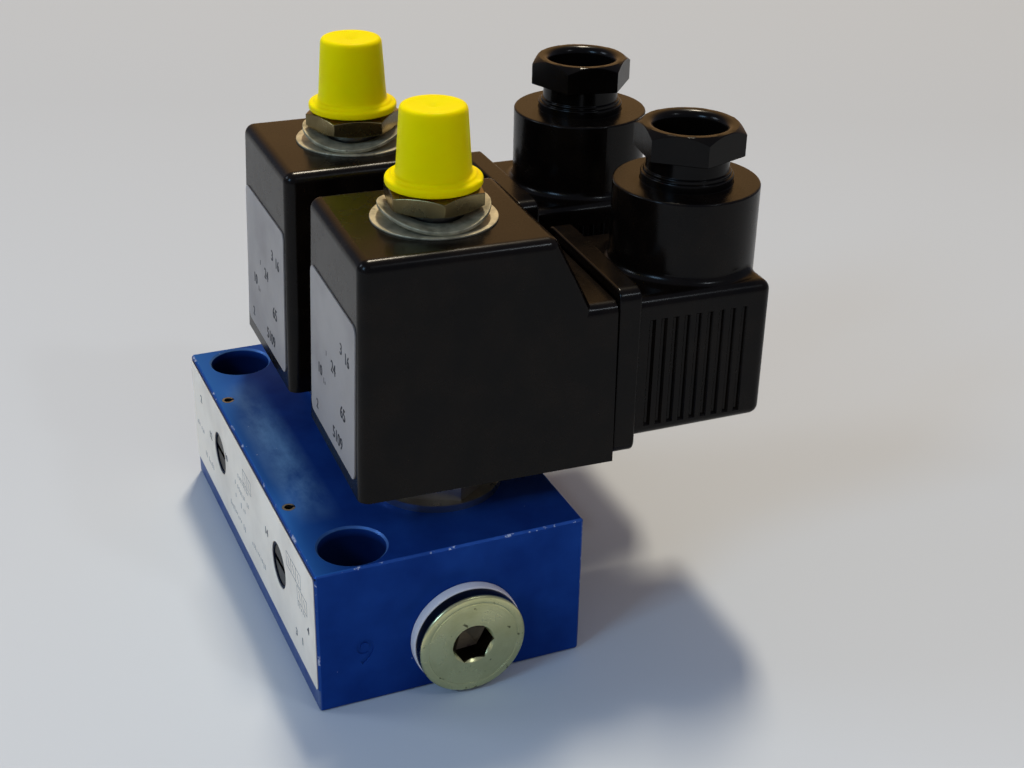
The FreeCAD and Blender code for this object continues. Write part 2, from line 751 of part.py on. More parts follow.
class Solenoid:
    """One solenoid: its tube, armature, coil, fastenings, cable plug and gland."""

    def __init__(self, side, name):
        self.side = side
        self.name = name
        self.yaw = getattr(size, "yaw_" + name)
        self.seat = size.coil_seat
        self.top = size.coil_seat + size.coil_height
        self.washer_top = self.top + size.washer_thickness
        self.rear = size.coil_rear
        self.flange_front = size.coil_rear + size.gasket_thickness
        self.flange_back = self.flange_front + size.flange_thickness
        self.hood_back = self.flange_back + size.hood_length
        self.plug_level = self.seat + (size.flange_low + size.flange_top) / 2
        self.turret_back = self.flange_front + size.turret_back
        self.hood_top = self.seat + size.hood_top
        self.turret_top = self.hood_top + size.turret_height

    def piece(self, label):
        """Start a piece of this solenoid."""
        return Piece(label + "_" + self.name)

    def place(self, piece, extra=0, back=0):
        """Stand a piece on the block at this solenoid's station, turned with it."""
        turn = self.yaw + extra if isinstance(extra, Length) else self.yaw
        shift = number(back)
        across, behind = self.side * size.station_pitch / 2, size.station_back
        if shift:
            across = Length(number(across), "%s - %s * sin(%s * 1 deg)" % (across.text, back.text, self.yaw.text))
            behind = Length(number(behind), "%s + %s * cos(%s * 1 deg)" % (behind.text, back.text, self.yaw.text))
        return piece.place(across, behind, size.block_height, turn)

    def group(self, label, members):
        """Collect separate like solids into one piece."""
        item = doc.addObject("Part::Compound", label + "_" + self.name)
        item.Label = label + "_" + self.name
        item.Links = members
        pieces.append(item)
        doc.recompute()
        put(item, self.side * size.station_pitch / 2, size.station_back, size.block_height, self.yaw)

    def slab(self, name, across, back, up, wide, deep, high):
        """A plain block of material, given by its centre in X and Y and its lowest level."""
        item = doc.addObject("Part::Box", name + "_" + self.name)
        drive(item, "Length", wide)
        drive(item, "Width", deep)
        drive(item, "Height", high)
        drive(item, "Placement.Base.x", across - wide / 2)
        drive(item, "Placement.Base.y", back - deep / 2)
        drive(item, "Placement.Base.z", up)
        return item

    def tube(self):
        """Armature tube with its threaded spigot, sealing collar and hexagon."""
        tube = self.piece("armature_tube")
        profile = tube.sketch("XZ_Plane")
        profile.outline([
            (size.tube_bore, -size.spigot_length),
            (size.spigot_radius, -size.spigot_length),
            (size.spigot_radius, 0),
            (size.collar_radius, 0),
            (size.collar_radius, size.collar_height),
            (size.tube_radius, size.collar_height),
            (size.tube_radius, size.tube_top),
            (size.tube_bore, size.tube_top),
        ])
        tube.spin(profile)
        grip = tube.sketch("XY_Plane", size.collar_height).hexagon(size.tube_flats)
        grip.circle(0, 0, (size.tube_bore + size.tube_radius) / 2)
        tube.pad(grip, self.seat - size.collar_height)
        self.place(tube, size.tube_hex_turn)
        ring = self.piece("tube_o_ring")
        profile = ring.sketch("XZ_Plane")
        profile.circle(base_ring_reach(), -size.base_ring_section, size.base_ring_section)
        ring.spin(profile)
        self.place(ring)

    def core(self):
        """Fixed core, sealed into the tube's top, with the exhaust bore through its stud."""
        core = self.piece("fixed_core")
        body = size.tube_bore - size.core_gap
        port_floor = size.stud_top - size.exhaust_port_depth
        profile = core.sketch("XZ_Plane")
        profile.outline([
            (size.exhaust_radius, size.core_face - size.core_nose_height),
            (size.core_nose_radius, size.core_face - size.core_nose_height),
            (size.core_nose_radius, size.core_face),
            (body, size.core_face),
            (body, size.tube_top),
            (size.tube_radius, size.tube_top),
            (size.tube_radius, self.top),
            (size.stud_radius, self.top),
            (size.stud_radius, size.stud_top - size.stud_edge),
            (size.stud_radius - size.stud_edge, size.stud_top),
            (size.exhaust_port_radius, size.stud_top),
            (size.exhaust_port_radius, port_floor),
            (size.exhaust_radius, port_floor),
        ])
        core.spin(profile)
        self.place(core)

    def armature(self):
        """Sprung armature with a seal at each end."""
        radius = size.tube_bore - size.armature_gap
        seat = -size.seat_depth
        foot = seat + size.seal_stand
        seal_top = size.core_face - size.core_nose_height - size.armature_travel - size.seal_gap
        crown = seal_top - size.seal_stand
        edge = size.armature_edge
        lower, upper = size.lower_seal_radius, size.upper_seal_radius
        inner = size.spring_radius - size.spring_wire - size.spring_side_gap
        outer = size.spring_radius + size.spring_wire + size.spring_side_gap
        armature = self.piece("armature")
        profile = armature.sketch("XZ_Plane")
        profile.outline([
            (0, foot + size.lower_seal_depth),
            (lower, foot + size.lower_seal_depth),
            (lower, foot),
            (radius - edge, foot),
            (radius, foot + edge),
            (radius, crown),
            (outer, crown),
            (outer, crown - size.spring_well),
            (inner, crown - size.spring_well),
            (inner, crown),
            (upper, crown),
            (upper, crown - size.upper_seal_depth),
            (0, crown - size.upper_seal_depth),
        ])
        armature.spin(profile)
        for side in (1, -1):
            flat = armature.sketch("XY_Plane", foot)
            near_x, far_x = radius - size.armature_flat, radius * 2
            left, right = (near_x, far_x) if side > 0 else (-far_x, -near_x)
            flat.box(left, right, -radius, radius)
            armature.pocket(flat, crown - foot, backwards=True)
        self.place(armature)
        discs = []
        for label, reach, low, high in (
            ("lower_seal", lower, seat + size.seal_gap, foot + size.lower_seal_depth),
            ("upper_seal", upper, crown - size.upper_seal_depth, seal_top),
        ):
            disc = doc.addObject("Part::Cylinder", label + "_" + self.name)
            drive(disc, "Radius", reach - size.seal_fit)
            drive(disc, "Height", high - low)
            drive(disc, "Placement.Base.z", low)
            discs.append(disc)
        self.group("armature_seals", discs)
        spring = self.piece("armature_spring")
        wire, low = size.spring_wire, crown - size.spring_well
        free = size.core_face - low - wire * 2
        profile = spring.sketch("XZ_Plane")
        half = wire * 0.9
        profile.box(size.spring_radius - half, size.spring_radius + half, low, low + wire * 2)
        coils = spring.feature("AdditiveHelix", profile)
        coils.ReferenceAxis = (profile.item, ["V_Axis"])
        coils.Mode = "height-turns-angle"
        drive(coils, "Height", free)
        drive(coils, "Turns", size.spring_turns)
        spring.settle(coils, 1)
        self.place(spring)

    def cavity(self):
        """Half width, front and back of the room inside the coil's moulding."""
        half = size.coil_half_top - size.coil_wall
        return half, size.coil_front_wall - size.coil_front, size.coil_crest - size.coil_back_wall

    def coil(self):
        """Moulded coil with its yoke, bobbin, winding, terminals and label."""
        seat, top = self.seat, self.top
        half_top, half_low = size.coil_half_top, size.coil_half_top + size.coil_draft
        front_top, front_low = -size.coil_front, -size.coil_front - size.coil_draft
        half, front, back = self.cavity()
        housing = self.piece("coil_housing")
        lower = housing.sketch("XY_Plane", seat).box(-half_low, half_low, front_low, self.rear)
        upper = housing.sketch("XY_Plane", top).box(-half_top, half_top, front_top, self.rear)
        housing.loft(lower, upper)
        ledge = seat + size.coil_ledge
        over = size.coil_round
        wedge = housing.sketch("YZ_Plane")
        wedge.outline([
            (self.rear + over, ledge),
            (size.coil_slope_foot, ledge),
            (size.coil_crest, top),
            (size.coil_crest, top + over),
            (self.rear + over, top + over),
        ])
        housing.pocket(wedge, half_low * 3, both=True)

        def outer_edge(edge):
            """Every outer edge but those round the bottom and the ledge's inner corner."""
            at = middle(edge)
            if near(at.z, seat):
                return False
            inner = near(at.z, ledge) and near(at.y, size.coil_slope_foot)
            rear_edge = near(at.y, self.rear) and not upright(edge)
            return not inner and not rear_edge

        housing.fillet(size.coil_round, outer_edge)
        room = housing.sketch("XY_Plane", seat).box(-half, half, front, back)
        housing.pocket(room, size.coil_height - size.coil_roof, backwards=True)
        bore = housing.sketch("XY_Plane", top).circle(0, 0, size.tube_radius + size.coil_clear)
        housing.pocket(bore, size.coil_roof * 2)
        slots = housing.sketch("XZ_Plane", -self.rear)
        wide, thick = self.blade_room()
        for at in (size.blade_spacing / 2, -size.blade_spacing / 2):
            slots.box(at - thick / 2, at + thick / 2, self.plug_level - wide / 2, self.plug_level + wide / 2)
        earth = self.plug_level - size.earth_drop
        slots.box(-wide / 2, wide / 2, earth - thick / 2, earth + thick / 2)
        housing.pocket(slots, self.rear - back, backwards=True)
        screw = housing.sketch("XZ_Plane", -self.rear).circle(0, self.plug_level, size.screw_radius + size.thread_gap)
        housing.pocket(screw, size.screw_thread + size.end_gap, backwards=True)
        self.place(housing)
        yoke = self.piece("coil_yoke")
        sheet, gap = size.yoke_thickness, size.coil_clear
        profile = yoke.sketch("XZ_Plane", -(front + back) / 2)
        roof = top - size.coil_roof
        profile.box(gap - half, half - gap, seat, roof)
        profile.box(gap - half + sheet, half - gap - sheet, seat + sheet, roof - sheet)
        yoke.pad(profile, (back - front) - gap * 2, both=True)
        bore = yoke.sketch("XY_Plane", top).circle(0, 0, size.tube_radius + gap)
        yoke.pocket(bore, size.coil_height * 2)
        self.place(yoke)
        bobbin = self.piece("coil_bobbin")
        inner = size.tube_radius + size.bobbin_gap
        low, high = seat + sheet, roof - sheet
        reach = half - gap - sheet - size.bobbin_gap
        drum = inner + size.bobbin_wall
        rim = size.bobbin_flange
        profile = bobbin.sketch("XZ_Plane")
        profile.outline([
            (inner, low),
            (reach, low),
            (reach, low + rim),
            (drum, low + rim),
            (drum, high - rim),
            (reach, high - rim),
            (reach, high),
            (inner, high),
        ])
        bobbin.spin(profile)
        self.place(bobbin)
        winding = self.piece("coil_winding")
        loose = size.winding_gap
        profile = winding.sketch("XZ_Plane")
        profile.box(drum + loose / 2, size.winding_radius, low + rim, high - rim)
        winding.spin(profile)
        self.place(winding)
        blades = []
        length = self.rear - back + size.blade_reach
        start = back + length / 2
        for label, at in (("blade_one", size.blade_spacing / 2), ("blade_two", -size.blade_spacing / 2)):
            low_edge = self.plug_level - size.blade_width / 2
            blades.append(self.slab(label, at, start, low_edge, size.blade_thickness, length, size.blade_width))
        low_edge = earth - size.blade_thickness / 2
        zero = Length(0, "0")
        blades.append(self.slab("earth", zero, start, low_edge, size.blade_width, length, size.blade_thickness))
        self.group("coil_terminals", blades)
        label = self.piece("coil_label")
        slope = size.coil_draft / size.coil_height
        low, high = size.coil_plate_low, size.coil_plate_low + size.coil_plate_height
        low_y, high_y = front_low + low * slope, front_low + high * slope
        profile = label.sketch("YZ_Plane")
        profile.outline([
            (low_y, seat + low),
            (low_y - size.coil_plate_thickness, seat + low),
            (high_y - size.coil_plate_thickness, seat + high),
            (high_y, seat + high),
        ])
        label.pad(profile, size.coil_plate_width, both=True)
        label.fillet(
            size.coil_plate_corner,
            backward,
        )
        self.place(label)

    def blade_room(self):
        """Width and thickness of the room round a terminal blade."""
        return size.blade_width + size.blade_gap * 2, size.blade_thickness + size.blade_gap * 2

    def nut_foot(self):
        """Level at which the nut rests on the raised sides of the curved washer."""
        reach = (size.nut_flats / 2 + size.nut_relief) / size.wave_radius
        return self.washer_top + size.wave_thickness + size.wave_lift * reach * reach

    def stack(self):
        """Flat washer, curved spring washer, nut and pull-off cap."""
        flat = self.piece("flat_washer")
        bore = size.stud_radius + size.washer_gap
        flat.spin(flat.sketch("XZ_Plane").box(bore, size.washer_radius, self.top, self.washer_top))
        self.place(flat)
        self.wave(bore)
        nut = self.piece("coil_nut")
        foot = self.nut_foot()
        crown = foot + size.nut_height
        profile = nut.sketch("XY_Plane", foot).hexagon(size.nut_flats)
        profile.circle(0, 0, size.stud_radius + size.thread_gap)
        nut.pad(profile, size.nut_height)
        self.crop(nut, size.nut_flats, foot, size.nut_corner, -1)
        self.crop(nut, size.nut_flats, crown, size.nut_corner, 1)
        self.place(nut, getattr(size, "nut_turn_" + self.name))
        cap = self.piece("protective_cap")
        rim = crown + size.cap_gap
        waist = rim + size.cap_flange
        root = waist + size.cap_flare
        tip = rim + size.cap_height
        mouth = size.stud_radius + size.cap_mouth_gap
        ceiling = tip - size.cap_roof
        bead = size.cap_flange / 4
        edge = size.cap_edge
        profile = cap.sketch("XZ_Plane")
        profile.outline([
            (0, ceiling),
            (mouth - size.cap_draft, ceiling),
            (mouth, rim),
            (size.cap_flange_radius - bead, rim),
            (size.cap_flange_radius, rim + bead),
            (size.cap_flange_radius, waist - bead),
            (size.cap_flange_radius - bead, waist),
            ((size.cap_flange_radius + size.cap_root_radius) / 2, waist + size.cap_flare / 4),
            (size.cap_root_radius, root),
            (size.cap_tip_radius, tip - edge),
            (size.cap_tip_radius - edge / 3, tip - edge / 3),
            (size.cap_tip_radius - edge, tip),
            (0, tip),
        ])
        cap.spin(profile)
        self.place(cap)

    def crop(self, piece, flats, level, rise, way):
        """Turn off a hexagon's corners towards one face, as a cone."""
        reach = flats / ROOT_THREE
        bearing = flats / 2 - size.thread_gap
        beyond = reach + rise
        steep = rise / (reach - bearing)
        profile = piece.sketch("XZ_Plane")
        profile.outline([
            (bearing, level),
            (beyond, level - way * steep * (beyond - bearing)),
            (beyond, level + way * rise),
            (bearing, level + way * rise),
        ])
        piece.spin(profile, kind="Groove")

    def wave(self, bore):
        """Spring washer bent about one diameter, so that it stands on that line."""
        washer = self.piece("spring_washer")
        radius, lift, thick = size.wave_radius, size.wave_lift, size.wave_thickness
        bend = (radius * radius + lift * lift) / (2 * lift)
        reach = radius + thick
        profile = washer.sketch("YZ_Plane")
        sketch = profile.item
        low = self.washer_top
        centre = FreeCAD.Vector(0, number(low + bend), 0)
        arcs = []
        for curve_radius in (bend, bend - thick):
            spread = math.asin(number(reach) / number(curve_radius))
            circle = Part.Circle(centre, FreeCAD.Vector(0, 0, 1), number(curve_radius))
            arc = Part.ArcOfCircle(circle, -math.pi / 2 - spread, -math.pi / 2 + spread)
            at = sketch.addGeometry(arc, False)
            profile.measure("Radius", curve_radius, at)
            profile.pin(at, CENTRE, 0, low + bend)
            profile.measure("DistanceX", -reach, ORIGIN, FIRST, at, FIRST)
            profile.measure("DistanceX", reach, ORIGIN, FIRST, at, SECOND)
            arcs.append(at)
        outer, inner = arcs
        for end in (FIRST, SECOND):
            ends = [sketch.Geometry[at] for at in arcs]
            points = [(arc.StartPoint if end == FIRST else arc.EndPoint) for arc in ends]
            side = sketch.addGeometry(Part.LineSegment(*points), False)
            sketch.addConstraint(Sketcher.Constraint("Coincident", side, FIRST, outer, end))
            sketch.addConstraint(Sketcher.Constraint("Coincident", side, SECOND, inner, end))
        washer.pad(profile, reach * 2, both=True)
        trim = washer.sketch("XY_Plane", self.top)
        trim.circle(0, 0, radius)
        trim.circle(0, 0, radius * 2)
        washer.pocket(trim, radius * 2, backwards=True)
        hole = washer.sketch("XY_Plane", self.top).circle(0, 0, bore)
        washer.pocket(hole, radius * 2, backwards=True)
        self.place(washer, getattr(size, "wave_turn_" + self.name))

    def plug(self):
        """Cable plug: gasket, hollow ribbed housing with its turret, insert, contacts and screw."""
        seat = self.seat
        level = self.plug_level
        low, high = seat + size.flange_low, seat + size.flange_top
        half = size.flange_half
        gasket = self.piece("plug_gasket")
        inset, frame = size.gasket_inset, size.gasket_frame
        profile = gasket.sketch("XZ_Plane", -self.rear)
        left, right = inset - size.hood_half, size.hood_half - inset
        foot, crest = low + inset, seat + size.coil_ledge - inset
        profile.box(left, right, foot, crest)
        profile.box(left + frame, right - frame, foot + frame, crest - frame)
        gasket.pad(profile, size.gasket_thickness, backwards=True)
        self.place(gasket)
        housing = self.piece("plug_housing")
        front, back, end = self.flange_front, self.flange_back, self.hood_back
        profile = housing.sketch("XZ_Plane", -front).box(-half, half, low, high)
        housing.pad(profile, size.flange_thickness, backwards=True)
        hood_low = seat + size.hood_low
        profile = housing.sketch("YZ_Plane")
        profile.outline([
            (front, hood_low),
            (end, hood_low + size.hood_rise),
            (end, self.hood_top),
            (front, self.hood_top),
        ])
        housing.pad(profile, size.hood_half * 2, both=True)
        housing.fillet(size.hood_round, lambda edge: middle(edge).y > number(back) + REACH)
        housing.fillet(
            size.flange_corner,
            lambda edge: backward(edge) and near(edge.Length, size.flange_thickness),
        )
        housing.fillet(
            size.flange_edge,
            lambda edge: self.flange_outline(edge, low, high),
        )
        turret = housing.sketch("XZ_Plane", -self.turret_back)
        radius, skirt = size.turret_radius, size.turret_skirt
        inward = radius - (end - self.turret_back)
        turret.outline([
            (0, self.hood_top - skirt - inward),
            (radius - inward, self.hood_top - skirt - inward),
            (radius, self.hood_top - skirt),
            (radius, self.turret_top),
            (0, self.turret_top),
        ])
        housing.spin(turret)
        housing.fillet(
            size.turret_root,
            lambda edge: rim(edge, radius) and near(middle(edge).z, self.hood_top),
        )
        housing.fillet(
            size.turret_edge,
            lambda edge: rim(edge, radius) and near(middle(edge).z, self.turret_top),
        )
        wall = size.hood_wall
        room = housing.sketch("XZ_Plane", -front)
        room_low, room_high = hood_low + wall, self.hood_top - wall
        room.box(wall - size.hood_half, size.hood_half - wall, room_low, room_high)
        housing.pocket(room, size.flange_thickness + size.hood_length - wall)
        bore_floor = self.hood_top + size.turret_seat
        bore = housing.sketch("XY_Plane", self.turret_top).circle(0, self.turret_back, size.turret_bore)
        housing.pocket(bore, self.turret_top - bore_floor)
        throat = housing.sketch("XY_Plane", bore_floor).circle(0, self.turret_back, size.turret_throat)
        housing.pocket(throat, bore_floor - level)
        for side in (1, -1):
            plane = side * (size.hood_half - size.rib_depth)
            groove = housing.sketch("YZ_Plane", plane)
            start, width = size.rib_start, size.rib_floor
            groove.box(start - width / 2, start + width / 2, seat + size.rib_low, seat + size.rib_high)
            cut = housing.pocket(groove, size.rib_depth * 2, backwards=side > 0, slope=size.rib_slope)
            housing.row(cut, groove, "H_Axis", size.rib_count, size.rib_pitch)
        hole = housing.sketch("XZ_Plane", -end).circle(0, level, size.screw_radius + size.screw_gap)
        housing.pocket(hole, wall * 2, backwards=True)
        sink = housing.sketch("XZ_Plane", -end)
        sink.circle(0, level, size.screw_head_radius + size.screw_gap)
        housing.pocket(sink, size.screw_head_sink, backwards=True)
        self.place(housing)
        self.insert(room_low, room_high, front, level)
        screw = self.piece("plug_screw")
        seat_y = end - size.screw_head_sink
        tip = self.rear - size.screw_thread
        head_end = seat_y + size.screw_head
        edge = size.screw_slot_width / 2
        profile = screw.sketch("YZ_Plane")
        profile.outline([
            (tip, 0),
            (tip, size.screw_radius),
            (seat_y, size.screw_radius),
            (seat_y, size.screw_head_radius),
            (head_end - edge, size.screw_head_radius),
            (head_end, size.screw_head_radius - edge),
            (head_end, 0),
        ])
        screw.spin(profile, "H_Axis")
        slot = screw.sketch("XZ_Plane", -head_end)
        slot.box(-size.screw_head_radius * 2, size.screw_head_radius * 2, -edge, edge)
        screw.pocket(slot, size.screw_slot_depth, backwards=True)
        screw.place(
            self.side * size.station_pitch / 2, size.station_back, size.block_height + level, self.yaw
        )

    def flange_outline(self, edge, low, high):
        """Whether an edge runs round the outside of the flange's front or back face."""
        spot = middle(edge)
        band = number(size.flange_corner) / 3
        aside = abs(spot.x) > number(size.flange_half) - band
        if not (aside or spot.z > number(high) - band or spot.z < number(low) + band):
            return False
        return near(spot.y, self.flange_front) or near(spot.y, self.flange_back)

    def insert(self, room_low, room_high, front, level):
        """Terminal block inside the plug, with a sleeve contact round each blade."""
        gap = size.insert_gap
        block = self.piece("plug_terminal_block")
        half = size.hood_half - size.hood_wall - gap
        start = front + size.insert_front
        profile = block.sketch("XZ_Plane", -start).box(-half, half, room_low + gap, room_high - gap)
        block.pad(profile, size.insert_length, backwards=True)
        wide, thick = self.blade_room()
        shell, loose = size.contact_wall, size.contact_gap
        sleeves = []
        earth = level - size.earth_drop
        spots = [
            ("sleeve_one", size.blade_spacing / 2, level, thick, wide),
            ("sleeve_two", -size.blade_spacing / 2, level, thick, wide),
            ("sleeve_earth", Length(0, "0"), earth, wide, thick),
        ]
        rooms = block.sketch("XZ_Plane", -start)
        for name, across, up, inner_x, inner_z in spots:
            reach_x, reach_z = inner_x / 2 + shell + loose, inner_z / 2 + shell + loose
            rooms.box(across - reach_x, across + reach_x, up - reach_z, up + reach_z)
            outer = self.slab(
                name + "_wall", across, start + size.contact_length / 2, up - inner_z / 2 - shell,
                inner_x + shell * 2, size.contact_length, inner_z + shell * 2,
            )
            inner = self.slab(
                name + "_slot", across, start + size.contact_length / 2, up - inner_z / 2,
                inner_x, size.contact_length * 2, inner_z,
            )
            sleeve = doc.addObject("Part::Cut", name + "_" + self.name)
            sleeve.Base, sleeve.Tool = outer, inner
            sleeves.append(sleeve)
        block.pocket(rooms, size.contact_length)
        hole = block.sketch("XZ_Plane", -start).circle(0, level, size.screw_radius + size.screw_gap)
        block.pocket(hole, size.insert_length)
        self.place(block)
        self.group("plug_contacts", sleeves)

    def gland(self):
        """Gland nut over a pressure washer and a rubber bush, at the turret's top."""
        floor = self.hood_top + size.turret_seat
        bush_top = floor + size.gland_seal
        disc_top = bush_top + size.gland_washer
        lip = self.turret_top
        steps = [
            (size.gland_collar_radius, size.gland_collar),
            (size.gland_ring_radius, size.gland_ring),
            (size.gland_barrel_radius, size.gland_barrel),
        ]
        reach = size.turret_bore - size.gland_gap
        for label, bore, low, high in (
            ("gland_seal", size.gland_seal_bore, floor, bush_top),
            ("gland_washer", size.gland_washer_bore, bush_top, disc_top),
        ):
            ring = self.piece(label)
            ring.spin(ring.sketch("XZ_Plane").box(bore, reach, low, high))
            self.place(ring, back=self.turret_back)
        nut = self.piece("gland_nut")
        outside = [(size.turret_bore - size.thread_gap, disc_top), (size.turret_bore - size.thread_gap, lip)]
        level = lip
        for radius, rise in steps:
            outside += [(radius, level), (radius, level + rise)]
            level = level + rise
        top = level + size.gland_hex
        inside = [
            (size.gland_barrel_radius, top),
            (size.gland_bore, top),
            (size.gland_bore, disc_top),
        ]
        profile = nut.sketch("XZ_Plane").outline(outside[:-1] + inside)
        nut.spin(profile)
        grip = nut.sketch("XY_Plane", level).hexagon(size.gland_flats)
        grip.circle(0, 0, (size.gland_barrel_radius + size.gland_bore) / 2)
        nut.pad(grip, size.gland_hex)
        self.crop(nut, size.gland_flats, top, size.gland_corner, 1)
        nut.fillet(
            size.gland_mouth,
            lambda edge: rim(edge, size.gland_bore) and near(middle(edge).z, top),
        )
        self.place(nut, getattr(size, "gland_turn_" + self.name), self.turret_back)

    def build(self):
        """Make every piece of this solenoid."""
        self.tube()
        self.core()
        self.armature()
        self.coil()
        self.stack()
        self.plug()
        self.gland()


def export(items):
    """Check every object, then write each piece to a file of its own."""
    for item in doc.Objects:
        if "Invalid" in item.State or "Error" in item.State:
            raise ValueError("%s failed: %s" % (item.Label, item.State))
    for item in items:
        if item.Shape.isNull() or not item.Shape.isValid() or not item.Shape.Solids:
            raise ValueError(item.Label + " has no sound shape")
    os.makedirs("parts", exist_ok=True)
    for item in items:
        item.Shape.exportStep(os.path.join("parts", item.Label + ".step"))
        box = item.Shape.BoundBox
        print("%-28s %8.1f mm3  z %6.2f to %6.2f" % (item.Label, item.Shape.Volume, box.ZMin, box.ZMax))


def main():
    """Build the whole valve and write its pieces."""
    block_body()
    block_plate()
    blanking_plug()
    for side, name in ((1, "right"), (-1, "left")):
        override(side, name)
        Solenoid(side, name).build()
    doc.recompute()
    export(pieces)


main()
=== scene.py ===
"""Looks of a pneumatic solenoid valve: two capped coils with square cable plugs on a blue block."""

import json
import logging
import math
from collections.abc import Callable, Sequence
from dataclasses import dataclass, field
from enum import Enum
from typing import Any

import bmesh
import bpy
from mathutils import Matrix, Vector


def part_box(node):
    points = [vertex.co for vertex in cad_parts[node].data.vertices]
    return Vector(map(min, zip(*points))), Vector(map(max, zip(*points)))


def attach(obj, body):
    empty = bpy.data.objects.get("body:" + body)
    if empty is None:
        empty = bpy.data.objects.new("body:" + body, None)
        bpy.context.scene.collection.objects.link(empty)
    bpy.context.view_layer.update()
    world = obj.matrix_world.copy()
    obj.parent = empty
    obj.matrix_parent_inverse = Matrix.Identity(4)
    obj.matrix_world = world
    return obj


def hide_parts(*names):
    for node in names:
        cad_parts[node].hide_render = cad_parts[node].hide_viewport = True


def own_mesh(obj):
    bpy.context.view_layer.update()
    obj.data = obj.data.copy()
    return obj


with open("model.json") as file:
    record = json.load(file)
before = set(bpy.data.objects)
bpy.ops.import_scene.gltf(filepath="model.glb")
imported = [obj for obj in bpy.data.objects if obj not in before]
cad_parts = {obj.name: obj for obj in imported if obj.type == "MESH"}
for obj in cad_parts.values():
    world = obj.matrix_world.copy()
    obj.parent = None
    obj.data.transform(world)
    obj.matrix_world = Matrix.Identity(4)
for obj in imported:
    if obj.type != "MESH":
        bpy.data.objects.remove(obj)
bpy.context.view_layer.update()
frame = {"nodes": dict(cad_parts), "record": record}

MM = 0.001
BODY = "valve_body"
ROOT_THREE = math.sqrt(3.0)
BLOCK_TOP = 25.4
STATION_X = 19.5
STATION_Y = 4.7
MERGE = 1e-7
HALF_SIDE = 0.49
ENDWISE = Matrix(((0, 0, 1, 0), (1, 0, 0, 0), (0, 1, 0, 0), (0, 0, 0, 1)))
UPRIGHT = Matrix(((1, 0, 0, 0), (0, 0, -1, 0), (0, 1, 0, 0), (0, 0, 0, 1)))
log = logging.getLogger("valve")

Colour = tuple[float, float, float]
Corner = tuple[float, float, float]
Point = tuple[float, float]
Size = Callable[[float], float] | float
Socket = bpy.types.NodeSocket
Piece = bpy.types.Object


def turned(degrees: float, axis: str = "Z") -> Matrix:
    """A turn about one axis."""
    return Matrix.Rotation(math.radians(degrees), 4, axis)


class Station(Enum):
    """The two solenoids, by the end of the block that they stand at.

    Attributes:
        end: Plain name of that end.
        side: 1 at the blanking plug's end, -1 at the other.
        yaw: Turn of the coil about its tube, in degrees.
        nut_turn: Turn of the coil nut beyond the coil's own; wave_turn and gland_turn go for the
            curved washer and the gland nut.
    """

    RIGHT = ("right", 1, -2.5, -6.5, -4.0, -7.0)
    LEFT = ("left", -1, -1.3, 20.0, -24.0, 21.0)

    def __init__(self, end: str, side: int, *turns: float) -> None:
        """Keep the station's values."""
        self.end, self.side = end, side
        self.yaw, self.nut_turn, self.wave_turn, self.gland_turn = turns

    def place(self, turn: float = 0.0, back: float = 0.0, rise: float = 0.0) -> Matrix:
        """The solenoid's own frame, at its tube's axis on the block's top, or one beyond it."""
        foot = Matrix.Translation((self.side * STATION_X, STATION_Y, BLOCK_TOP))
        return foot @ turned(self.yaw) @ Matrix.Translation((0.0, back, rise)) @ turned(turn)


class Kind(Enum):
    """Ways in which a metal surface is worked."""

    PLAIN = "plain"
    TURNED = "turned"


class Tree:
    """A node tree in the making."""

    def __init__(self, tree: bpy.types.NodeTree) -> None:
        """Take a tree in hand."""
        self.tree = tree

    def feed(self, socket: Socket, value: Any) -> None:
        """Link a socket or set its value.

        Args:
            socket: The input to feed.
            value: A number, colour or text, a socket to link, or a list of sockets to link.
        """
        if isinstance(value, list):
            for part in value:
                self.tree.links.new(part, socket)
        elif isinstance(value, bpy.types.NodeSocket):
            self.tree.links.new(value, socket)
        elif socket.type == "RGBA":
            socket.default_value = (*value, 1.0)
        else:
            socket.default_value = value

    def node(self, kind: str, inputs: dict[Any, Any] | None = None, **settings: Any) -> Any:
        """Add one node.

        Args:
            kind: The node's type name.
            inputs: Values or sockets for its inputs, by name or index.
            **settings: Properties of the node itself.

        Returns:
            The node.
        """
        item = self.tree.nodes.new(kind)
        for name, value in settings.items():
            setattr(item, name, value)
        for name, value in (inputs or {}).items():
            self.feed(item.inputs[name], value)
        return item

    def out(self, kind: str, inputs: dict[Any, Any] | None = None, **settings: Any) -> Socket:
        """Add one node."""
        return self.node(kind, inputs, **settings).outputs[0]

    def maths(self, how: str, *values: Any) -> Socket:
        """Arithmetic on one or more values, from left to right.

        Args:
            how: The step's name.
            *values: Numbers or sockets.

        Returns:
            The result.
        """
        result = values[0]
        for value in values[1:] or (0.0,):
            result = self.out("ShaderNodeMath", {0: result, 1: value}, operation=how)
        return result

    def times(self, *values: Any) -> Socket:
        """Multiply two or more values."""
        return self.maths("MULTIPLY", *values)


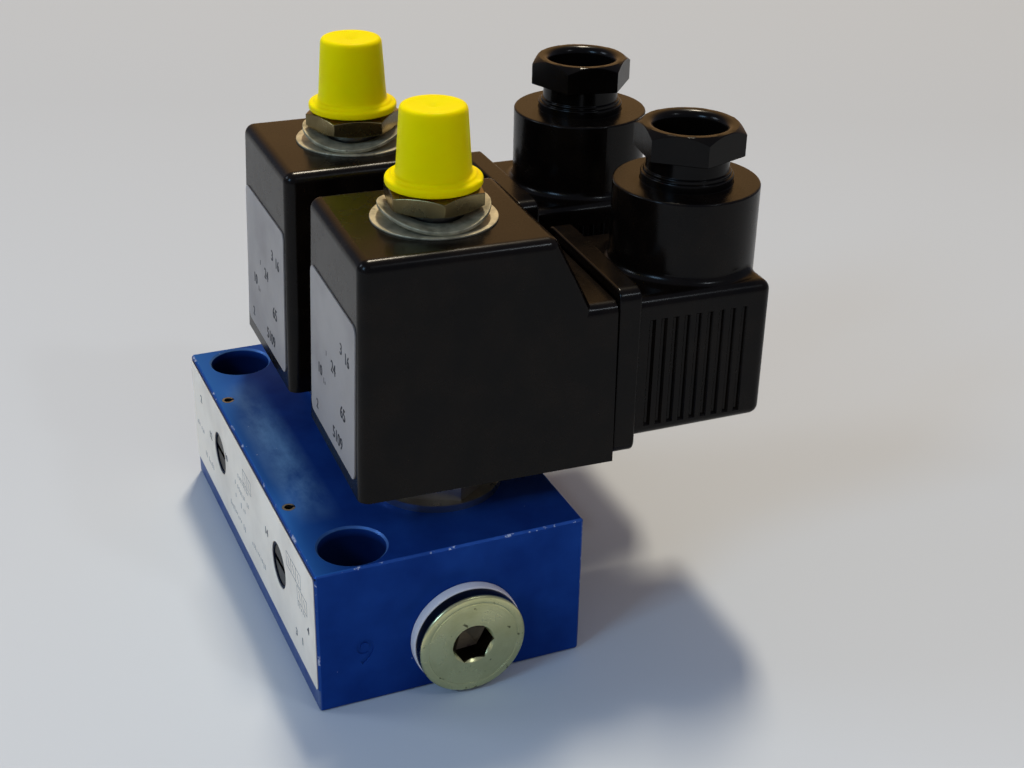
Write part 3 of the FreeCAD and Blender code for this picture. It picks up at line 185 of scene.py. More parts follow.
class Recipe(Tree):
    """A material's node tree in the making."""

    def __init__(self, name: str) -> None:
        """Start an empty material with an output and a Principled shader.

        Args:
            name: The finish's plain name.
        """
        self.material = bpy.data.materials.new(name)
        self.material.use_nodes = True
        super().__init__(self.material.node_tree)
        self.tree.nodes.clear()
        self.shader = self.node("ShaderNodeBsdfPrincipled")
        self.node("ShaderNodeOutputMaterial", {"Surface": self.shader.outputs[0]})
        self.place = self.node("ShaderNodeTexCoord").outputs["Object"]

    def noise(
        self, scale: float, detail: float = 3.0, where: Socket | None = None, rough: float = 0.55
    ) -> Socket:
        """Noise between 0 and 1."""
        inputs = {"Vector": where or self.place, "Scale": scale, "Detail": detail, "Roughness": rough}
        return self.out("ShaderNodeTexNoise", inputs)

    def span(self, value: Socket, low: float, high: float, bottom: float = 0.0, top: float = 1.0) -> Socket:
        """A value mapped from one span to another and held inside it."""
        return self.out("ShaderNodeMapRange", {0: value, 1: low, 2: high, 3: bottom, 4: top}, clamp=True)

    def fall(self, value: Socket, low: float, high: float) -> Socket:
        """A share that falls from 1 to 0 over a span."""
        return self.span(value, low, high, 1.0, 0.0)

    def blend(self, share: Any, first: Any, second: Any) -> Socket:
        """A colour between two colours."""
        return self.node("ShaderNodeMix", {0: share, 6: first, 7: second}, data_type="RGBA").outputs[2]

    def shift(self, offset: Corner, scale: Corner = (1.0, 1.0, 1.0)) -> Socket:
        """Object coordinates measured from a point, then scaled."""
        centred = self.out("ShaderNodeVectorMath", {0: self.place, 1: offset}, operation="SUBTRACT")
        return self.out("ShaderNodeMapping", {0: centred, "Scale": scale})

    def parts(self, vector: Socket) -> list[Socket]:
        """Split a vector."""
        return list(self.node("ShaderNodeSeparateXYZ", {0: vector}).outputs)

    def reach(self, across: Socket, along: Socket) -> Socket:
        """A distance from its two parts."""
        return self.maths("SQRT", self.maths("ADD", self.times(across, across), self.times(along, along)))

    def dress(self, looks: dict[str, Any]) -> None:
        """Set or link the shader's inputs, given by name."""
        for name, value in looks.items():
            self.feed(self.shader.inputs[name], value)

    def bump(self, height: Socket, strength: float, depth: float, under: Socket | None = None) -> Socket:
        """Surface relief.

        Args:
            height: Height between 0 and 1.
            strength: Share of the relief that shows.
            depth: Its depth in metres.
            under: An earlier relief to add to.

        Returns:
            The normal.
        """
        inputs: dict[Any, Any] = {"Height": height, "Strength": strength, "Distance": depth}
        if under is not None:
            inputs["Normal"] = under
        return self.out("ShaderNodeBump", inputs)


@dataclass(frozen=True)
class Finish:
    """A finish, made as one procedural material."""

    name: str

    def skin(self, recipe: Recipe) -> dict[str, Any]:
        """The look itself."""
        raise NotImplementedError

    def material(self) -> bpy.types.Material:
        """Build the material.

        Returns:
            The material.
        """
        recipe = Recipe(self.name)
        recipe.dress(self.skin(recipe))
        return recipe.material


@dataclass(frozen=True)
class Moulding(Finish):
    """Moulded plastic, rubber or ink."""

    colour: Colour
    warm: Colour
    gloss: float = 0.25
    dull: float = 0.4
    coat: float = 0.0
    coat_gloss: float = 0.15
    shine: float = 0.12
    grain: float = 0.000002

    def skin(self, recipe: Recipe) -> dict[str, Any]:
        """Cloudy colour, scuffed gloss and fine grain.

        Args:
            recipe: The material in the making.

        Returns:
            The shader's inputs.
        """
        cloud = recipe.span(recipe.noise(150.0, 4.0), 0.38, 0.68)
        scuff = recipe.noise(300.0, 3.0, rough=0.6)
        return {
            "Base Color": recipe.blend(cloud, self.colour, self.warm),
            "Roughness": recipe.span(scuff, 0.35, 0.7, self.gloss, self.dull),
            "Coat Weight": self.coat,
            "Coat Roughness": self.coat_gloss,
            "Specular IOR Level": self.shine,
            "Normal": recipe.bump(recipe.noise(1300.0, 2.0), 0.5, self.grain),
        }


@dataclass(frozen=True)
class Metal(Finish):
    """Bare or plated metal.

    Attributes:
        colour: Main colour.
        stain: Colour of its tarnished patches.
        gloss: Roughness at its smoothest.
        dull: Roughness at its dullest.
        metal: How metallic it is; dirt and oxide make it less so.
        patch: Tarnished patches for each metre.
        pits: Share of dark pits.
        pit: Their colour.
        bite: Depth of the tool marks in metres.
        kind: How the surface is worked.
        centre: Where turned tool marks centre, in metres.
        axis: Which axis they run round: 0, 1 or 2.
        pitch: Tool marks for each metre.
        shade_until: Place along that axis, in metres, up to which the metal is darkened as painted shade.
        painted_shade: Colour of that painted shade.
    """

    colour: Colour
    stain: Colour
    gloss: float = 0.25
    dull: float = 0.45
    metal: float = 1.0
    patch: float = 160.0
    pits: float = 0.0
    pit: Colour = (0.05, 0.045, 0.02)
    bite: float = 0.00002
    kind: Kind = Kind.PLAIN
    centre: Corner = (0.0, 0.0, 0.0)
    axis: int = 2
    pitch: float = 2200.0
    shade_until: float | None = None
    painted_shade: Colour = (0.045, 0.028, 0.026)

    def skin(self, recipe: Recipe) -> dict[str, Any]:
        """Tarnished colour and gloss, pits, painted shade and tool marks.

        Args:
            recipe: The material in the making.

        Returns:
            The shader's inputs.
        """
        cloud = recipe.noise(self.patch, 5.0)
        colour = recipe.blend(recipe.span(cloud, 0.38, 0.68), self.colour, self.stain)
        relief = recipe.bump(recipe.noise(2600.0, 4.0), 0.5, self.bite * 0.6)
        if self.kind is Kind.TURNED:
            relief = recipe.bump(self.rings(recipe), 0.7, self.bite, relief)
        if self.pits:
            spots = recipe.span(recipe.noise(700.0, 2.0), 0.66, 0.72, 0.0, self.pits)
            colour = recipe.blend(spots, colour, self.pit)
        # Painted shade: darker up to a place along one axis.
        if self.shade_until is not None:
            along = recipe.parts(recipe.place)[self.axis]
            shade_share = recipe.span(along, self.shade_until - 0.0001, self.shade_until, 0.93, 0.0)
            colour = recipe.blend(shade_share, colour, self.painted_shade)
        return {
            "Base Color": colour,
            "Metallic": self.metal,
            "Roughness": recipe.span(cloud, 0.3, 0.75, self.gloss, self.dull),
            "Normal": relief,
        }

    def rings(self, recipe: Recipe) -> Socket:
        """Concentric tool marks round the centre.

        Args:
            recipe: The material in the making.

        Returns:
            Their height between 0 and 1.
        """
        parts = recipe.parts(recipe.shift(self.centre))
        del parts[self.axis]
        wobble = recipe.times(recipe.noise(300.0), 0.0002)
        turns = recipe.times(recipe.maths("ADD", recipe.reach(*parts), wobble), self.pitch * math.tau)
        return recipe.span(recipe.maths("SINE", turns), -1.0, 1.0)


@dataclass(frozen=True)
class Anodised(Finish):
    """Blue anodised aluminium with worn edges, painted highlights, a painted sheen streak and painted shade
    in its holes.

    Attributes:
        colour: The dye's colour.
        light: Colour of the dye where it is thinner.
        worn: Colour along the edges, worn dye with a painted highlight.
        rim: Colour of the painted highlight on the fixing holes' chamfers.
        shade: Colour of the painted shade inside the fixing holes.
        front_highlight: Colour of the painted highlight along the top's front edge, above the label.
        painted_sheen: Colour of the painted sheen streak along the top.
        strip: Colour of the worn strip under the label.
        dark: Colour of the dirt above the label and of the painted shade in the overrides' bores.
        bare: Colour of the metal where the dye is chipped off.
        half: Half of the block's length and width, and its height, in metres.
        mouth: Place of the fixing holes from the middle, and their heads' radius, in metres.
        film: Lower and upper edge of the label on the front, in metres.
        override: Place of the overrides' bores from the middle, and their radius, in metres.
    """

    colour: Colour = (0.0068, 0.034, 0.195)
    light: Colour = (0.012, 0.056, 0.275)
    worn: Colour = (0.035, 0.095, 0.27)
    rim: Colour = (0.10, 0.22, 0.48)
    shade: Colour = (0.003, 0.009, 0.04)
    front_highlight: Colour = (0.020, 0.112, 0.37)
    painted_sheen: Colour = (0.15, 0.32, 0.58)
    strip: Colour = (0.15, 0.19, 0.30)
    dark: Colour = (0.004, 0.004, 0.006)
    bare: Colour = (0.60, 0.63, 0.68)
    half: Corner = (0.04, 0.02225, 0.0254)
    mouth: Corner = (0.0338, -0.0144, 0.00535)
    film: Point = (0.0039, 0.0245)
    override: Corner = (0.0195, 0.0148, 0.0041)

    def edges(self, recipe: Recipe, parts: Sequence[Socket]) -> Socket:
        """Where two of the block's outer faces meet.

        Args:
            recipe: The material in the making.
            parts: The place's three parts.

        Returns:
            How near an edge is.
        """
        near = [
            recipe.span(recipe.maths("ABSOLUTE", part), limit - 0.00042, limit - 0.00012)
            for part, limit in zip(parts, self.half)
        ]
        return recipe.maths("MAXIMUM", *(recipe.times(near[at - 1], near[at]) for at in range(3)))

    def bores(self, recipe: Recipe, across: Socket, along: Socket, spot: Corner) -> Socket:
        """Distance from the nearer of two bores, one at each side of the middle."""
        away = recipe.maths("SUBTRACT", recipe.maths("ABSOLUTE", across), spot[0])
        return recipe.reach(away, recipe.maths("SUBTRACT", along, spot[1]))

    def mouths(self, recipe: Recipe, parts: Sequence[Socket]) -> tuple[Socket, Socket]:
        """The fixing holes' mouths.

        Args:
            recipe: The material in the making.
            parts: The place's three parts.

        Returns:
            Shares of the chamfers' painted highlight and of the insides' painted shade.
        """
        radius, top = self.bores(recipe, parts[0], parts[1], self.mouth), self.half[2]
        # Painted highlight on the chamfers and painted shade down inside the holes.
        ring = recipe.fall(radius, self.mouth[2] + 0.0003, self.mouth[2] + 0.00036)
        high = recipe.span(parts[2], top - 0.0005, top - 0.0003)
        deep = recipe.fall(parts[2], top - 0.0018, top - 0.0005)
        return recipe.times(ring, high), recipe.times(ring, deep)

    def front(self, recipe: Recipe, parts: Sequence[Socket]) -> tuple[Socket, Socket]:
        """The front face round the label.

        Args:
            recipe: The material in the making.
            parts: The place's three parts.

        Returns:
            Shares of the worn strip under the label and of the dirt above it with the painted shade in the
            bores.
        """
        plane, (foot, head), edge = -self.half[1], self.film, self.override[2]
        face = recipe.fall(parts[1], plane + 0.0001, plane + 0.0003)
        wear = recipe.span(recipe.noise(260.0, 5.0, rough=0.7), 0.32, 0.6, 0.35, 0.95)
        low = recipe.times(recipe.fall(parts[2], foot, foot + 0.0002), wear)
        line = recipe.times(
            recipe.span(parts[2], head, head + 0.0001), recipe.fall(parts[2], head + 0.0004, head + 0.0005)
        )
        # Painted shade: the overrides' bores are darkened near the front.
        bore = recipe.fall(self.bores(recipe, parts[0], parts[2], self.override), edge, edge + 0.0001)
        near = recipe.fall(parts[1], plane + 0.006, plane + 0.008)
        dark = recipe.maths("MAXIMUM", recipe.times(line, face), recipe.times(bore, near))
        return recipe.times(low, face), dark

    def top(self, recipe: Recipe, parts: Sequence[Socket]) -> tuple[Socket, Socket]:
        """The top face in front of the coils.

        Args:
            recipe: The material in the making.
            parts: The place's three parts.

        Returns:
            Shares of the painted highlight along the front edge and of the painted sheen streak beside it.
        """
        face = recipe.span(parts[2], self.half[2] - 0.0002, self.half[2] - 0.0001)
        # Painted highlight: the top is lighter along its front edge.
        side = recipe.span(parts[1], -0.0215, -0.0130, 0.75, 0.0)
        cloud = recipe.noise(130.0, 5.0, recipe.shift((0.0, 0.0, 0.0), (0.45, 1.0, 1.0)), 0.7)
        # Painted sheen: a cloudy lighter streak on the top in front of the coils.
        sheen_streak = recipe.times(
            recipe.span(cloud, 0.28, 0.62), face,
            recipe.span(parts[1], -0.0212, -0.0180), recipe.fall(parts[1], -0.0160, -0.0125),
            recipe.span(parts[0], -0.026, -0.010), recipe.fall(parts[0], 0.016, 0.026),
        )
        return recipe.times(face, side), sheen_streak

    def skin(self, recipe: Recipe) -> dict[str, Any]:
        """Cloudy dye with its wear, dirt, painted highlights, painted sheen and painted shade laid over it,
        layer by layer.

        Args:
            recipe: The material in the making.

        Returns:
            The shader's inputs.
        """
        parts = recipe.parts(recipe.place)
        edge = self.edges(recipe, parts)
        chips = recipe.span(recipe.noise(420.0, 6.0, rough=0.7), 0.575, 0.61)
        specks = recipe.span(recipe.noise(900.0, 2.0), 0.765, 0.79)
        lines = recipe.noise(300.0, 4.0, recipe.shift((0.0, 0.0, 0.0), (0.05, 1.0, 1.0)))
        rim, inside = self.mouths(recipe, parts)
        side, sheen_streak = self.top(recipe, parts)
        strip, dark = self.front(recipe, parts)
        blue = recipe.blend(recipe.span(recipe.noise(120.0, 4.0), 0.3, 0.7), self.colour, self.light)
        # Layers over the dye: worn edges with a painted highlight, a painted highlight on the fixing holes'
        # chamfers, painted shade in the holes, a painted highlight along the top's front edge, a painted
        # sheen streak, the worn strip, dirt above the label with painted shade in the overrides' bores, and
        # chips.
        for share, colour in (
            (recipe.times(edge, 0.45), self.worn), (recipe.times(rim, 0.6), self.rim),
            (recipe.times(inside, 0.8), self.shade), (side, self.front_highlight), (sheen_streak, self.painted_sheen),
            (recipe.times(strip, 0.8), self.strip), (recipe.times(dark, 0.95), self.dark),
            (recipe.maths("MAXIMUM", recipe.times(edge, chips), recipe.times(specks, 0.55)), self.bare),
        ):
            blue = recipe.blend(share, blue, colour)
        fine = recipe.bump(recipe.noise(3000.0, 3.0), 0.4, 0.000006)
        return {
            "Base Color": blue,
            "Metallic": 0.3,
            "Specular IOR Level": 0.03,
            "Specular Tint": (0.45, 0.62, 1.0),
            "Roughness": recipe.span(lines, 0.3, 0.7, 0.3, 0.42),
            "Normal": recipe.bump(lines, 0.25, 0.00001, fine),
        }


@dataclass(frozen=True)
class Polythene(Finish):
    """Translucent moulded polythene."""

    colour: Colour = (1.0, 0.71, 0.0)
    pale: Colour = (1.0, 0.75, 0.0)
    deep: Colour = (1.0, 0.7, 0.02)

    def skin(self, recipe: Recipe) -> dict[str, Any]:
        """Waxy, slightly cloudy and lit from inside.

        Args:
            recipe: The material in the making.

        Returns:
            The shader's inputs.
        """
        cloud = recipe.noise(120.0, 3.0)
        return {
            "Base Color": recipe.blend(recipe.span(cloud, 0.35, 0.7), self.colour, self.pale),
            "Roughness": recipe.span(cloud, 0.3, 0.7, 0.34, 0.44),
            "Specular IOR Level": 0.04,
            "Specular Tint": (1.0, 0.85, 0.3),
            "Subsurface Weight": 0.5,
            "Subsurface Radius": self.deep,
            "Subsurface Scale": 0.0018,
            "Normal": recipe.bump(recipe.noise(1500.0, 3.0), 0.25, 0.000004),
        }


@dataclass(frozen=True)
class Film(Finish):
    """Printed label film."""

    colour: Colour = (0.92, 0.82, 0.68)
    soil: Colour = (0.72, 0.63, 0.52)

    def skin(self, recipe: Recipe) -> dict[str, Any]:
        """Soiled in soft clouds.

        Args:
            recipe: The material in the making.

        Returns:
            The shader's inputs.
        """
        cloud = recipe.noise(70.0, 5.0)
        return {
            "Base Color": recipe.blend(recipe.span(cloud, 0.45, 0.8), self.colour, self.soil),
            "Roughness": recipe.span(cloud, 0.3, 0.7, 0.38, 0.5),
            "Normal": recipe.bump(recipe.noise(2200.0, 2.0), 0.3, 0.00001),
        }


FINISHES: tuple[Finish, ...] = (
    Anodised("anodised_block"),
    Polythene("yellow_polythene"),
    Film("label_film"),
    Film("silver_film", (0.32, 0.285, 0.26), (0.24, 0.21, 0.195)),
    Moulding("print_ink", (0.02, 0.02, 0.025), (0.08, 0.08, 0.085), 0.5, 0.6),
    Moulding("faded_ink", (0.13, 0.13, 0.17), (0.30, 0.29, 0.30), 0.5, 0.6),
    Moulding("white_nylon", (0.88, 0.80, 0.78), (0.80, 0.72, 0.70), 0.35, 0.5),
    Moulding("natural_nylon", (0.70, 0.66, 0.56), (0.62, 0.58, 0.48), 0.35, 0.5),
    Moulding("grey_moulding", (0.09, 0.09, 0.095), (0.07, 0.07, 0.075), 0.35, 0.5),
    Moulding("black_rubber", (0.012, 0.012, 0.013), (0.02, 0.02, 0.02), 0.5, 0.7),
    Moulding(
        "black_moulding", (0.0024, 0.0016, 0.0013), (0.0062, 0.0038, 0.0024), 0.24, 0.29, 0.20, 0.19, 0.04
    ),
    Moulding(
        "black_nylon_nut", (0.0016, 0.0012, 0.0010), (0.0040, 0.0026, 0.0018), 0.22, 0.27, 0.20, 0.17, 0.04
    ),
    Metal("black_steel", (0.016, 0.015, 0.014), (0.010, 0.009, 0.008), 0.34, 0.5),
    Metal("brass", (0.25, 0.20, 0.095), (0.155, 0.118, 0.048), 0.22, 0.34),
    Metal("pin_steel", (0.17, 0.165, 0.15), (0.10, 0.095, 0.085), 0.3, 0.45),
    Metal("nickel_brass", (0.45, 0.42, 0.36), (0.33, 0.30, 0.25), 0.25, 0.4),
    Metal("stainless_steel", (0.55, 0.55, 0.56), (0.45, 0.45, 0.46), 0.22, 0.35),
    Metal("copper_wire", (0.45, 0.18, 0.07), (0.30, 0.11, 0.04), 0.3, 0.4),
    Metal("tinned_brass", (0.62, 0.60, 0.54), (0.5, 0.48, 0.4), 0.25, 0.4),
    Metal("spring_steel", (0.50, 0.45, 0.30), (0.22, 0.20, 0.13), 0.5, 0.66, 0.6, 520.0, 0.6),
    Metal("plated_steel", (0.50, 0.45, 0.31), (0.27, 0.24, 0.16), 0.46, 0.6, 0.7, 420.0, 0.4),
    # The plug head's side is darkened as painted shade.
    Metal(
        "zinc_yellow_steel", (0.66, 0.64, 0.34), (0.52, 0.51, 0.25), 0.24, 0.36, pits=0.85, bite=0.000006,
        kind=Kind.TURNED, centre=(0.0, 0.0018, 0.00935), axis=0, pitch=1500.0, shade_until=0.0437,
    ),
)


class Paints:
    """The finishes, each made once, by the record's slot names."""

    # The fixed core takes the darker pin steel as painted shade where it shows in the gap under the nut.
    OWN = {"coil_label": "silver_film", "roll_pin": "pin_steel", "fixed_core": "pin_steel"}

    def __init__(self) -> None:
        """Build every finish and note which slot each node takes."""
        self.made = {finish.name: finish.material() for finish in FINISHES}
        self.slots = {part["node"]: part["material_slot"] for part in frame["record"]["subparts"]}

    def dress_nodes(self) -> None:
        """Give every CAD node its finish, a look of its own where the photograph shows one."""
        for name, node in frame["nodes"].items():
            finish = self.OWN.get(name.rsplit("_", 1)[0], self.slots[name])
            node.data.materials.clear()
            node.data.materials.append(self.made[finish])
            log.info("%s takes %s", name, finish)


def rounded(corners: Sequence[tuple[float, ...]], closed: bool, steps: int = 5) -> list[Point]:
    """A profile with its corners rounded.

    Args:
        corners: Radius, height and, where a corner is round, the length cut off each side of it.
        closed: Whether the last corner joins the first.
        steps: Pieces in each rounding.

    Returns:
        The profile's points.
    """
    points: list[Point] = []
    count = len(corners)
    for at, corner in enumerate(corners):
        spot = Vector(corner[:2])
        cut = corner[2] if len(corner) > 2 else 0.0
        if not cut or (not closed and at in (0, count - 1)):
            points.append((spot.x, spot.y))
            continue
        before = Vector(corners[at - 1][:2]) - spot
        after = Vector(corners[(at + 1) % count][:2]) - spot
        first = spot + before.normalized() * min(cut, before.length * HALF_SIDE)
        last = spot + after.normalized() * min(cut, after.length * HALF_SIDE)
        for step in range(steps + 1):
            share = step / steps
            bend = first * (1 - share) ** 2 + spot * 2 * share * (1 - share) + last * share**2
            points.append((bend.x, bend.y))
    return points


def hexagon(flats: float) -> Callable[[float], float]:
    """A hexagon with a corner at angle 0.

    Args:
        flats: Its width across the flats.

    Returns:
        Its radius by angle.
    """
    sixth = math.pi / 3

    def radius(angle: float) -> float:
        """The radius at one angle."""
        return flats / 2 / math.cos(angle % sixth - sixth / 2)

    return radius


def corner_drop(flats: float, bearing: float, drop: float) -> Callable[[float], float]:
    """How far a hexagon's turned-down edge lies below its bearing face.

    Args:
        flats: Width across the flats.
        bearing: Radius of the bearing face.
        drop: The drop at a corner.

    Returns:
        The drop by angle.
    """
    radius = hexagon(flats)
    steep = drop / (flats / ROOT_THREE - bearing)

    def below(angle: float) -> float:
        """The drop at one angle."""
        return max(0.0, radius(angle) - bearing) * steep

    return below


def linked(name: str, data: Any) -> Piece:
    """Put an object into the scene.

    Args:
        name: Its name.
        data: Its mesh, curve, lamp or camera.

    Returns:
        The object.
    """
    piece = bpy.data.objects.new(name, data)
    bpy.context.scene.collection.objects.link(piece)
    return piece


def taken(piece: Piece, keep: bool = False) -> bpy.types.Mesh:
    """Take the mesh that an object's modifiers or curve give.

    Args:
        piece: The object.
        keep: Whether the object stays in the scene.

    Returns:
        The mesh.
    """
    mesh = bpy.data.meshes.new_from_object(piece.evaluated_get(bpy.context.evaluated_depsgraph_get()))
    piece.modifiers.clear()
    if not keep:
        bpy.data.objects.remove(piece)
    return mesh


def merged(source: bpy.types.Mesh | bmesh.types.BMesh, name: str) -> bpy.types.Mesh:
    """Make a mesh with its doubles merged and its faces turned outwards.

    Args:
        source: The mesh to copy, or a surface in the making, which this ends.
        name: The new mesh's name.

    Returns:
        The new mesh.
    """
    whole = source
    if isinstance(source, bpy.types.Mesh):
        whole = bmesh.new()
        whole.from_mesh(source)
    bmesh.ops.remove_doubles(whole, verts=whole.verts, dist=MERGE)
    bmesh.ops.recalc_face_normals(whole, faces=whole.faces)
    mesh = bpy.data.meshes.new(name)
    whole.to_mesh(mesh)
    whole.free()
    return mesh


@dataclass
class Assembly:
    """A group of pieces that are built and dressed together."""

    paints: Paints

    def settled(self, piece: Piece, slot: str, body: str = BODY, stands_for: str = "") -> None:
        """Dress a piece that is still bare, let it ride on its body and report it.

        Args:
            piece: The piece.
            slot: The record's slot that its finish belongs to.
            body: The body that it moves with.
            stands_for: The CAD node that it takes the place of.
        """
        if not any(piece.data.materials):
            piece.data.materials.clear()
            piece.data.materials.append(self.paints.made[slot])
        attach(piece, body)
        if stands_for:
            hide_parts(stands_for)
        log.info("%s: %d faces, on %s", piece.name, len(piece.data.polygons), body)


class Skin:
    """A closed surface in the making, in millimetres."""

    def __init__(self, around: int = 96) -> None:
        """Start an empty surface."""
        self.mesh = bmesh.new()
        self.around = around

    def ring(self, radius: Size, level: Size) -> list[Vector]:
        """A ring of points round the Z axis.

        Args:
            radius: Its radius, as a number or by angle.
            level: Its height, as a number or by angle.

        Returns:
            The points.
        """
        points = []
        for at in range(self.around):
            angle = at / self.around * math.tau
            reach = radius(angle) if callable(radius) else radius
            height = level(angle) if callable(level) else level
            points.append(Vector((reach * math.cos(angle), reach * math.sin(angle), height)))
        return points

    def loft(self, rings: Sequence[Sequence[Vector]], closed: bool) -> "Skin":
        """Join rings into a skin, with its two ends closed.

        Args:
            rings: The rings.
            closed: Whether the last ring joins the first, so that there are no ends.

        Returns:
            This surface.
        """
        rows = [[self.mesh.verts.new(point) for point in ring] for ring in rings]
        for low, high in zip(rows, rows[1:] + rows[:1] if closed else rows[1:]):
            for at in range(len(low)):
                after = (at + 1) % len(low)
                self.mesh.faces.new((low[at], low[after], high[after], high[at]))
        for row in () if closed else (rows[0], rows[-1]):
            centre = self.mesh.verts.new(sum((vert.co for vert in row), Vector()) / len(row))
            for at, vert in enumerate(row):
                self.mesh.faces.new((centre, vert, row[(at + 1) % len(row)]))
        return self

    def turned(self, profile: Sequence[Point], closed: bool) -> "Skin":
        """Turn a profile round the Z axis."""
        return self.loft([self.ring(radius, level) for radius, level in profile], closed)

    def moved(self, change: Callable[[Vector], Vector]) -> "Skin":
        """Move every point."""
        for vert in self.mesh.verts:
            vert.co = change(vert.co)
        return self

    def made(self, name: str, matrix: Matrix, sharp: float) -> Piece:
        """Turn the surface into an object in metres.

        Args:
            name: The piece's name.
            matrix: From the surface's own frame to the row frame, in millimetres.
            sharp: Angle in degrees from which an edge stays sharp.

        Returns:
            The object.
        """
        bmesh.ops.transform(self.mesh, matrix=Matrix.Scale(MM, 4) @ matrix, verts=self.mesh.verts)
        mesh = merged(self.mesh, name)
        mesh.shade_smooth()
        mesh.set_sharp_from_angle(angle=math.radians(sharp))
        return linked(name, mesh)


class Growth(Tree):
    """A Geometry Nodes tree in the making, with named inputs."""

    def __init__(self, name: str, **sizes: float) -> None:
        """Start a tree with a named input for each size.

        Args:
            name: Name of the piece that it makes.
            **sizes: The inputs' values; a whole number makes a whole-number input.
        """
        super().__init__(bpy.data.node_groups.new(name, "GeometryNodeTree"))
        self.name, self.sizes = name, sizes
        self.tree.interface.new_socket("Geometry", in_out="OUTPUT", socket_type="NodeSocketGeometry")
        for size, value in sizes.items():
            kind = "NodeSocketInt" if isinstance(value, int) else "NodeSocketFloat"
            self.tree.interface.new_socket(size, in_out="INPUT", socket_type=kind)
        self.entry = self.node("NodeGroupInput").outputs

    def spot(self, across: Any = 0.0, up: Any = 0.0, out: Any = 0.0) -> Socket:
        """A vector from its three parts."""
        return self.out("ShaderNodeCombineXYZ", {0: across, 1: up, 2: out})

    def circle(self, points: int, radius: Any) -> Socket:
        """A circle."""
        return self.out("GeometryNodeCurvePrimitiveCircle", {"Resolution": points, "Radius": radius})

    def helix(self, height: Any, points: int, sides: int) -> Socket:
        """A round wire wound as a helix, from the inputs Radius, Turns and Wire.

        Args:
            height: Height of the wire's middle line.
            points: Points in each turn.
            sides: Sides of the wire.

        Returns:
            The wire.
        """
        radius = self.entry["Radius"]
        line = self.out("GeometryNodeCurveSpiral", {
            "Resolution": points, "Rotations": self.entry["Turns"],
            "Start Radius": radius, "End Radius": radius, "Height": height,
        })
        return self.out("GeometryNodeCurveToMesh", {
            "Curve": line, "Profile Curve": self.circle(sides, self.entry["Wire"]), "Fill Caps": True,
        })

    def grown(self, geometry: Socket, finish: bpy.types.Material, matrix: Matrix) -> Piece:
        """End the tree, run it with its sizes and keep the result as a plain mesh.

        Args:
            geometry: The geometry to put out.
            finish: The material that the tree sets.
            matrix: From the tree's own frame to the row frame, in millimetres.

        Returns:
            The piece.
        """
        real = self.out("GeometryNodeRealizeInstances", {0: geometry})
        self.node("NodeGroupOutput", {
            0: self.out("GeometryNodeSetMaterial", {"Geometry": real, "Material": finish}),
        })
        seed = linked(self.name + "_seed", bpy.data.meshes.new(self.name + "_seed"))
        modifier = seed.modifiers.new("growth", "NODES")
        modifier.node_group = self.tree
        for item in self.tree.interface.items_tree:
            if item.in_out == "INPUT":
                modifier[item.identifier] = self.sizes[item.name]
        mesh = taken(seed)
        mesh.transform(Matrix.Scale(MM, 4) @ matrix)
        mesh.name = self.name
        if not mesh.materials:
            mesh.materials.append(finish)
        return linked(self.name, mesh)


@dataclass
class Cap(Assembly):
    """Pull-off polythene cap over the exhaust port; sizes in millimetres above the block's top."""

    station: Station
    rim: float = 51.71
    mouth: float = 5.45
    draft: float = 0.75
    roof: float = 0.9
    height: float = 12.3
    flange: float = 1.3
    flange_radius: float = 7.5
    step_radius: float = 6.45
    step_rise: float = 0.45
    root_radius: float = 5.75
    flare: float = 1.3
    tip_radius: float = 5.1
    tip_round: float = 0.95
    dish: float = 0.3
    dish_rings: tuple[float, ...] = (0.72, 0.56, 0.4, 0.26, 0.16, 0.08)
    dimple: float = 0.3
    dimple_width: float = 0.17
    nick: float = 0.4
    nick_angle: float = 50.0
    nick_width: float = 0.07
    nick_height: float = 0.6

    def profile(self) -> list[Point]:
        """The half section from the hollow's roof round the flange to the dished tip.

        Returns:
            The section's points.
        """
        tip = self.rim + self.height
        waist = self.rim + self.flange
        ceiling = tip - self.roof
        corners = [
            (0.0, ceiling),
            (self.mouth - self.draft, ceiling, 0.6),
            (self.mouth, self.rim, 0.15),
            (self.flange_radius - 0.05, self.rim, 0.4),
            (self.flange_radius, waist - 0.1, 0.45),
            (self.step_radius + 0.25, waist + 0.12, 0.2),
            (self.step_radius, waist + self.step_rise, 0.25),
            (self.root_radius + 0.1, waist + self.step_rise + 0.12, 0.3),
            (self.root_radius - 0.03, waist + self.flare + 0.4, 0.3),
            (self.tip_radius, tip, self.tip_round),
        ]
        outside = rounded(corners, False, 6)[:-1]
        edge = rounded([*corners[-2:], (0.0, tip - self.dish)], False, 7)[1:-1]
        top = []
        for share in self.dish_rings:
            hollow = self.dish * (1 - share**2) + self.dimple * math.exp(-((share / self.dimple_width) ** 2))
            top.append((self.tip_radius * share, tip - hollow))
        return outside + edge + top + [(0.0, tip - self.dish - self.dimple)]

    def worn(self, spot: Vector) -> Vector:
        """Push out a small torn burr on the right cap's flange.

        Args:
            spot: A point of the cap.

        Returns:
            Where it goes.
        """
        if self.station is Station.LEFT or spot.xy.length <= self.flange_radius * 0.9:
            return spot
        lean = math.atan2(spot.y, spot.x)
        near = math.exp(-(((lean - math.radians(self.nick_angle)) / self.nick_width) ** 2))
        low = math.exp(-(((spot.z - self.rim - self.flange * 0.75) / self.nick_height) ** 2))
        ragged = 0.6 + 0.4 * math.sin(lean * 140.0 + spot.z * 9.0)
        out = spot.xy.normalized() * self.nick * near * low * ragged
        return spot + Vector((out.x, out.y, 0.3 * near * low * ragged))

    def build(self) -> None:
        """Make the cap and let it ride on its own body."""
        end = self.station.end
        skin = Skin(128).turned(self.profile(), False).moved(self.worn)
        piece = skin.made("cap_" + end + "_soft", self.station.place(), 60.0)
        self.settled(piece, "yellow_polythene", "cap_" + end, "protective_cap_" + end)


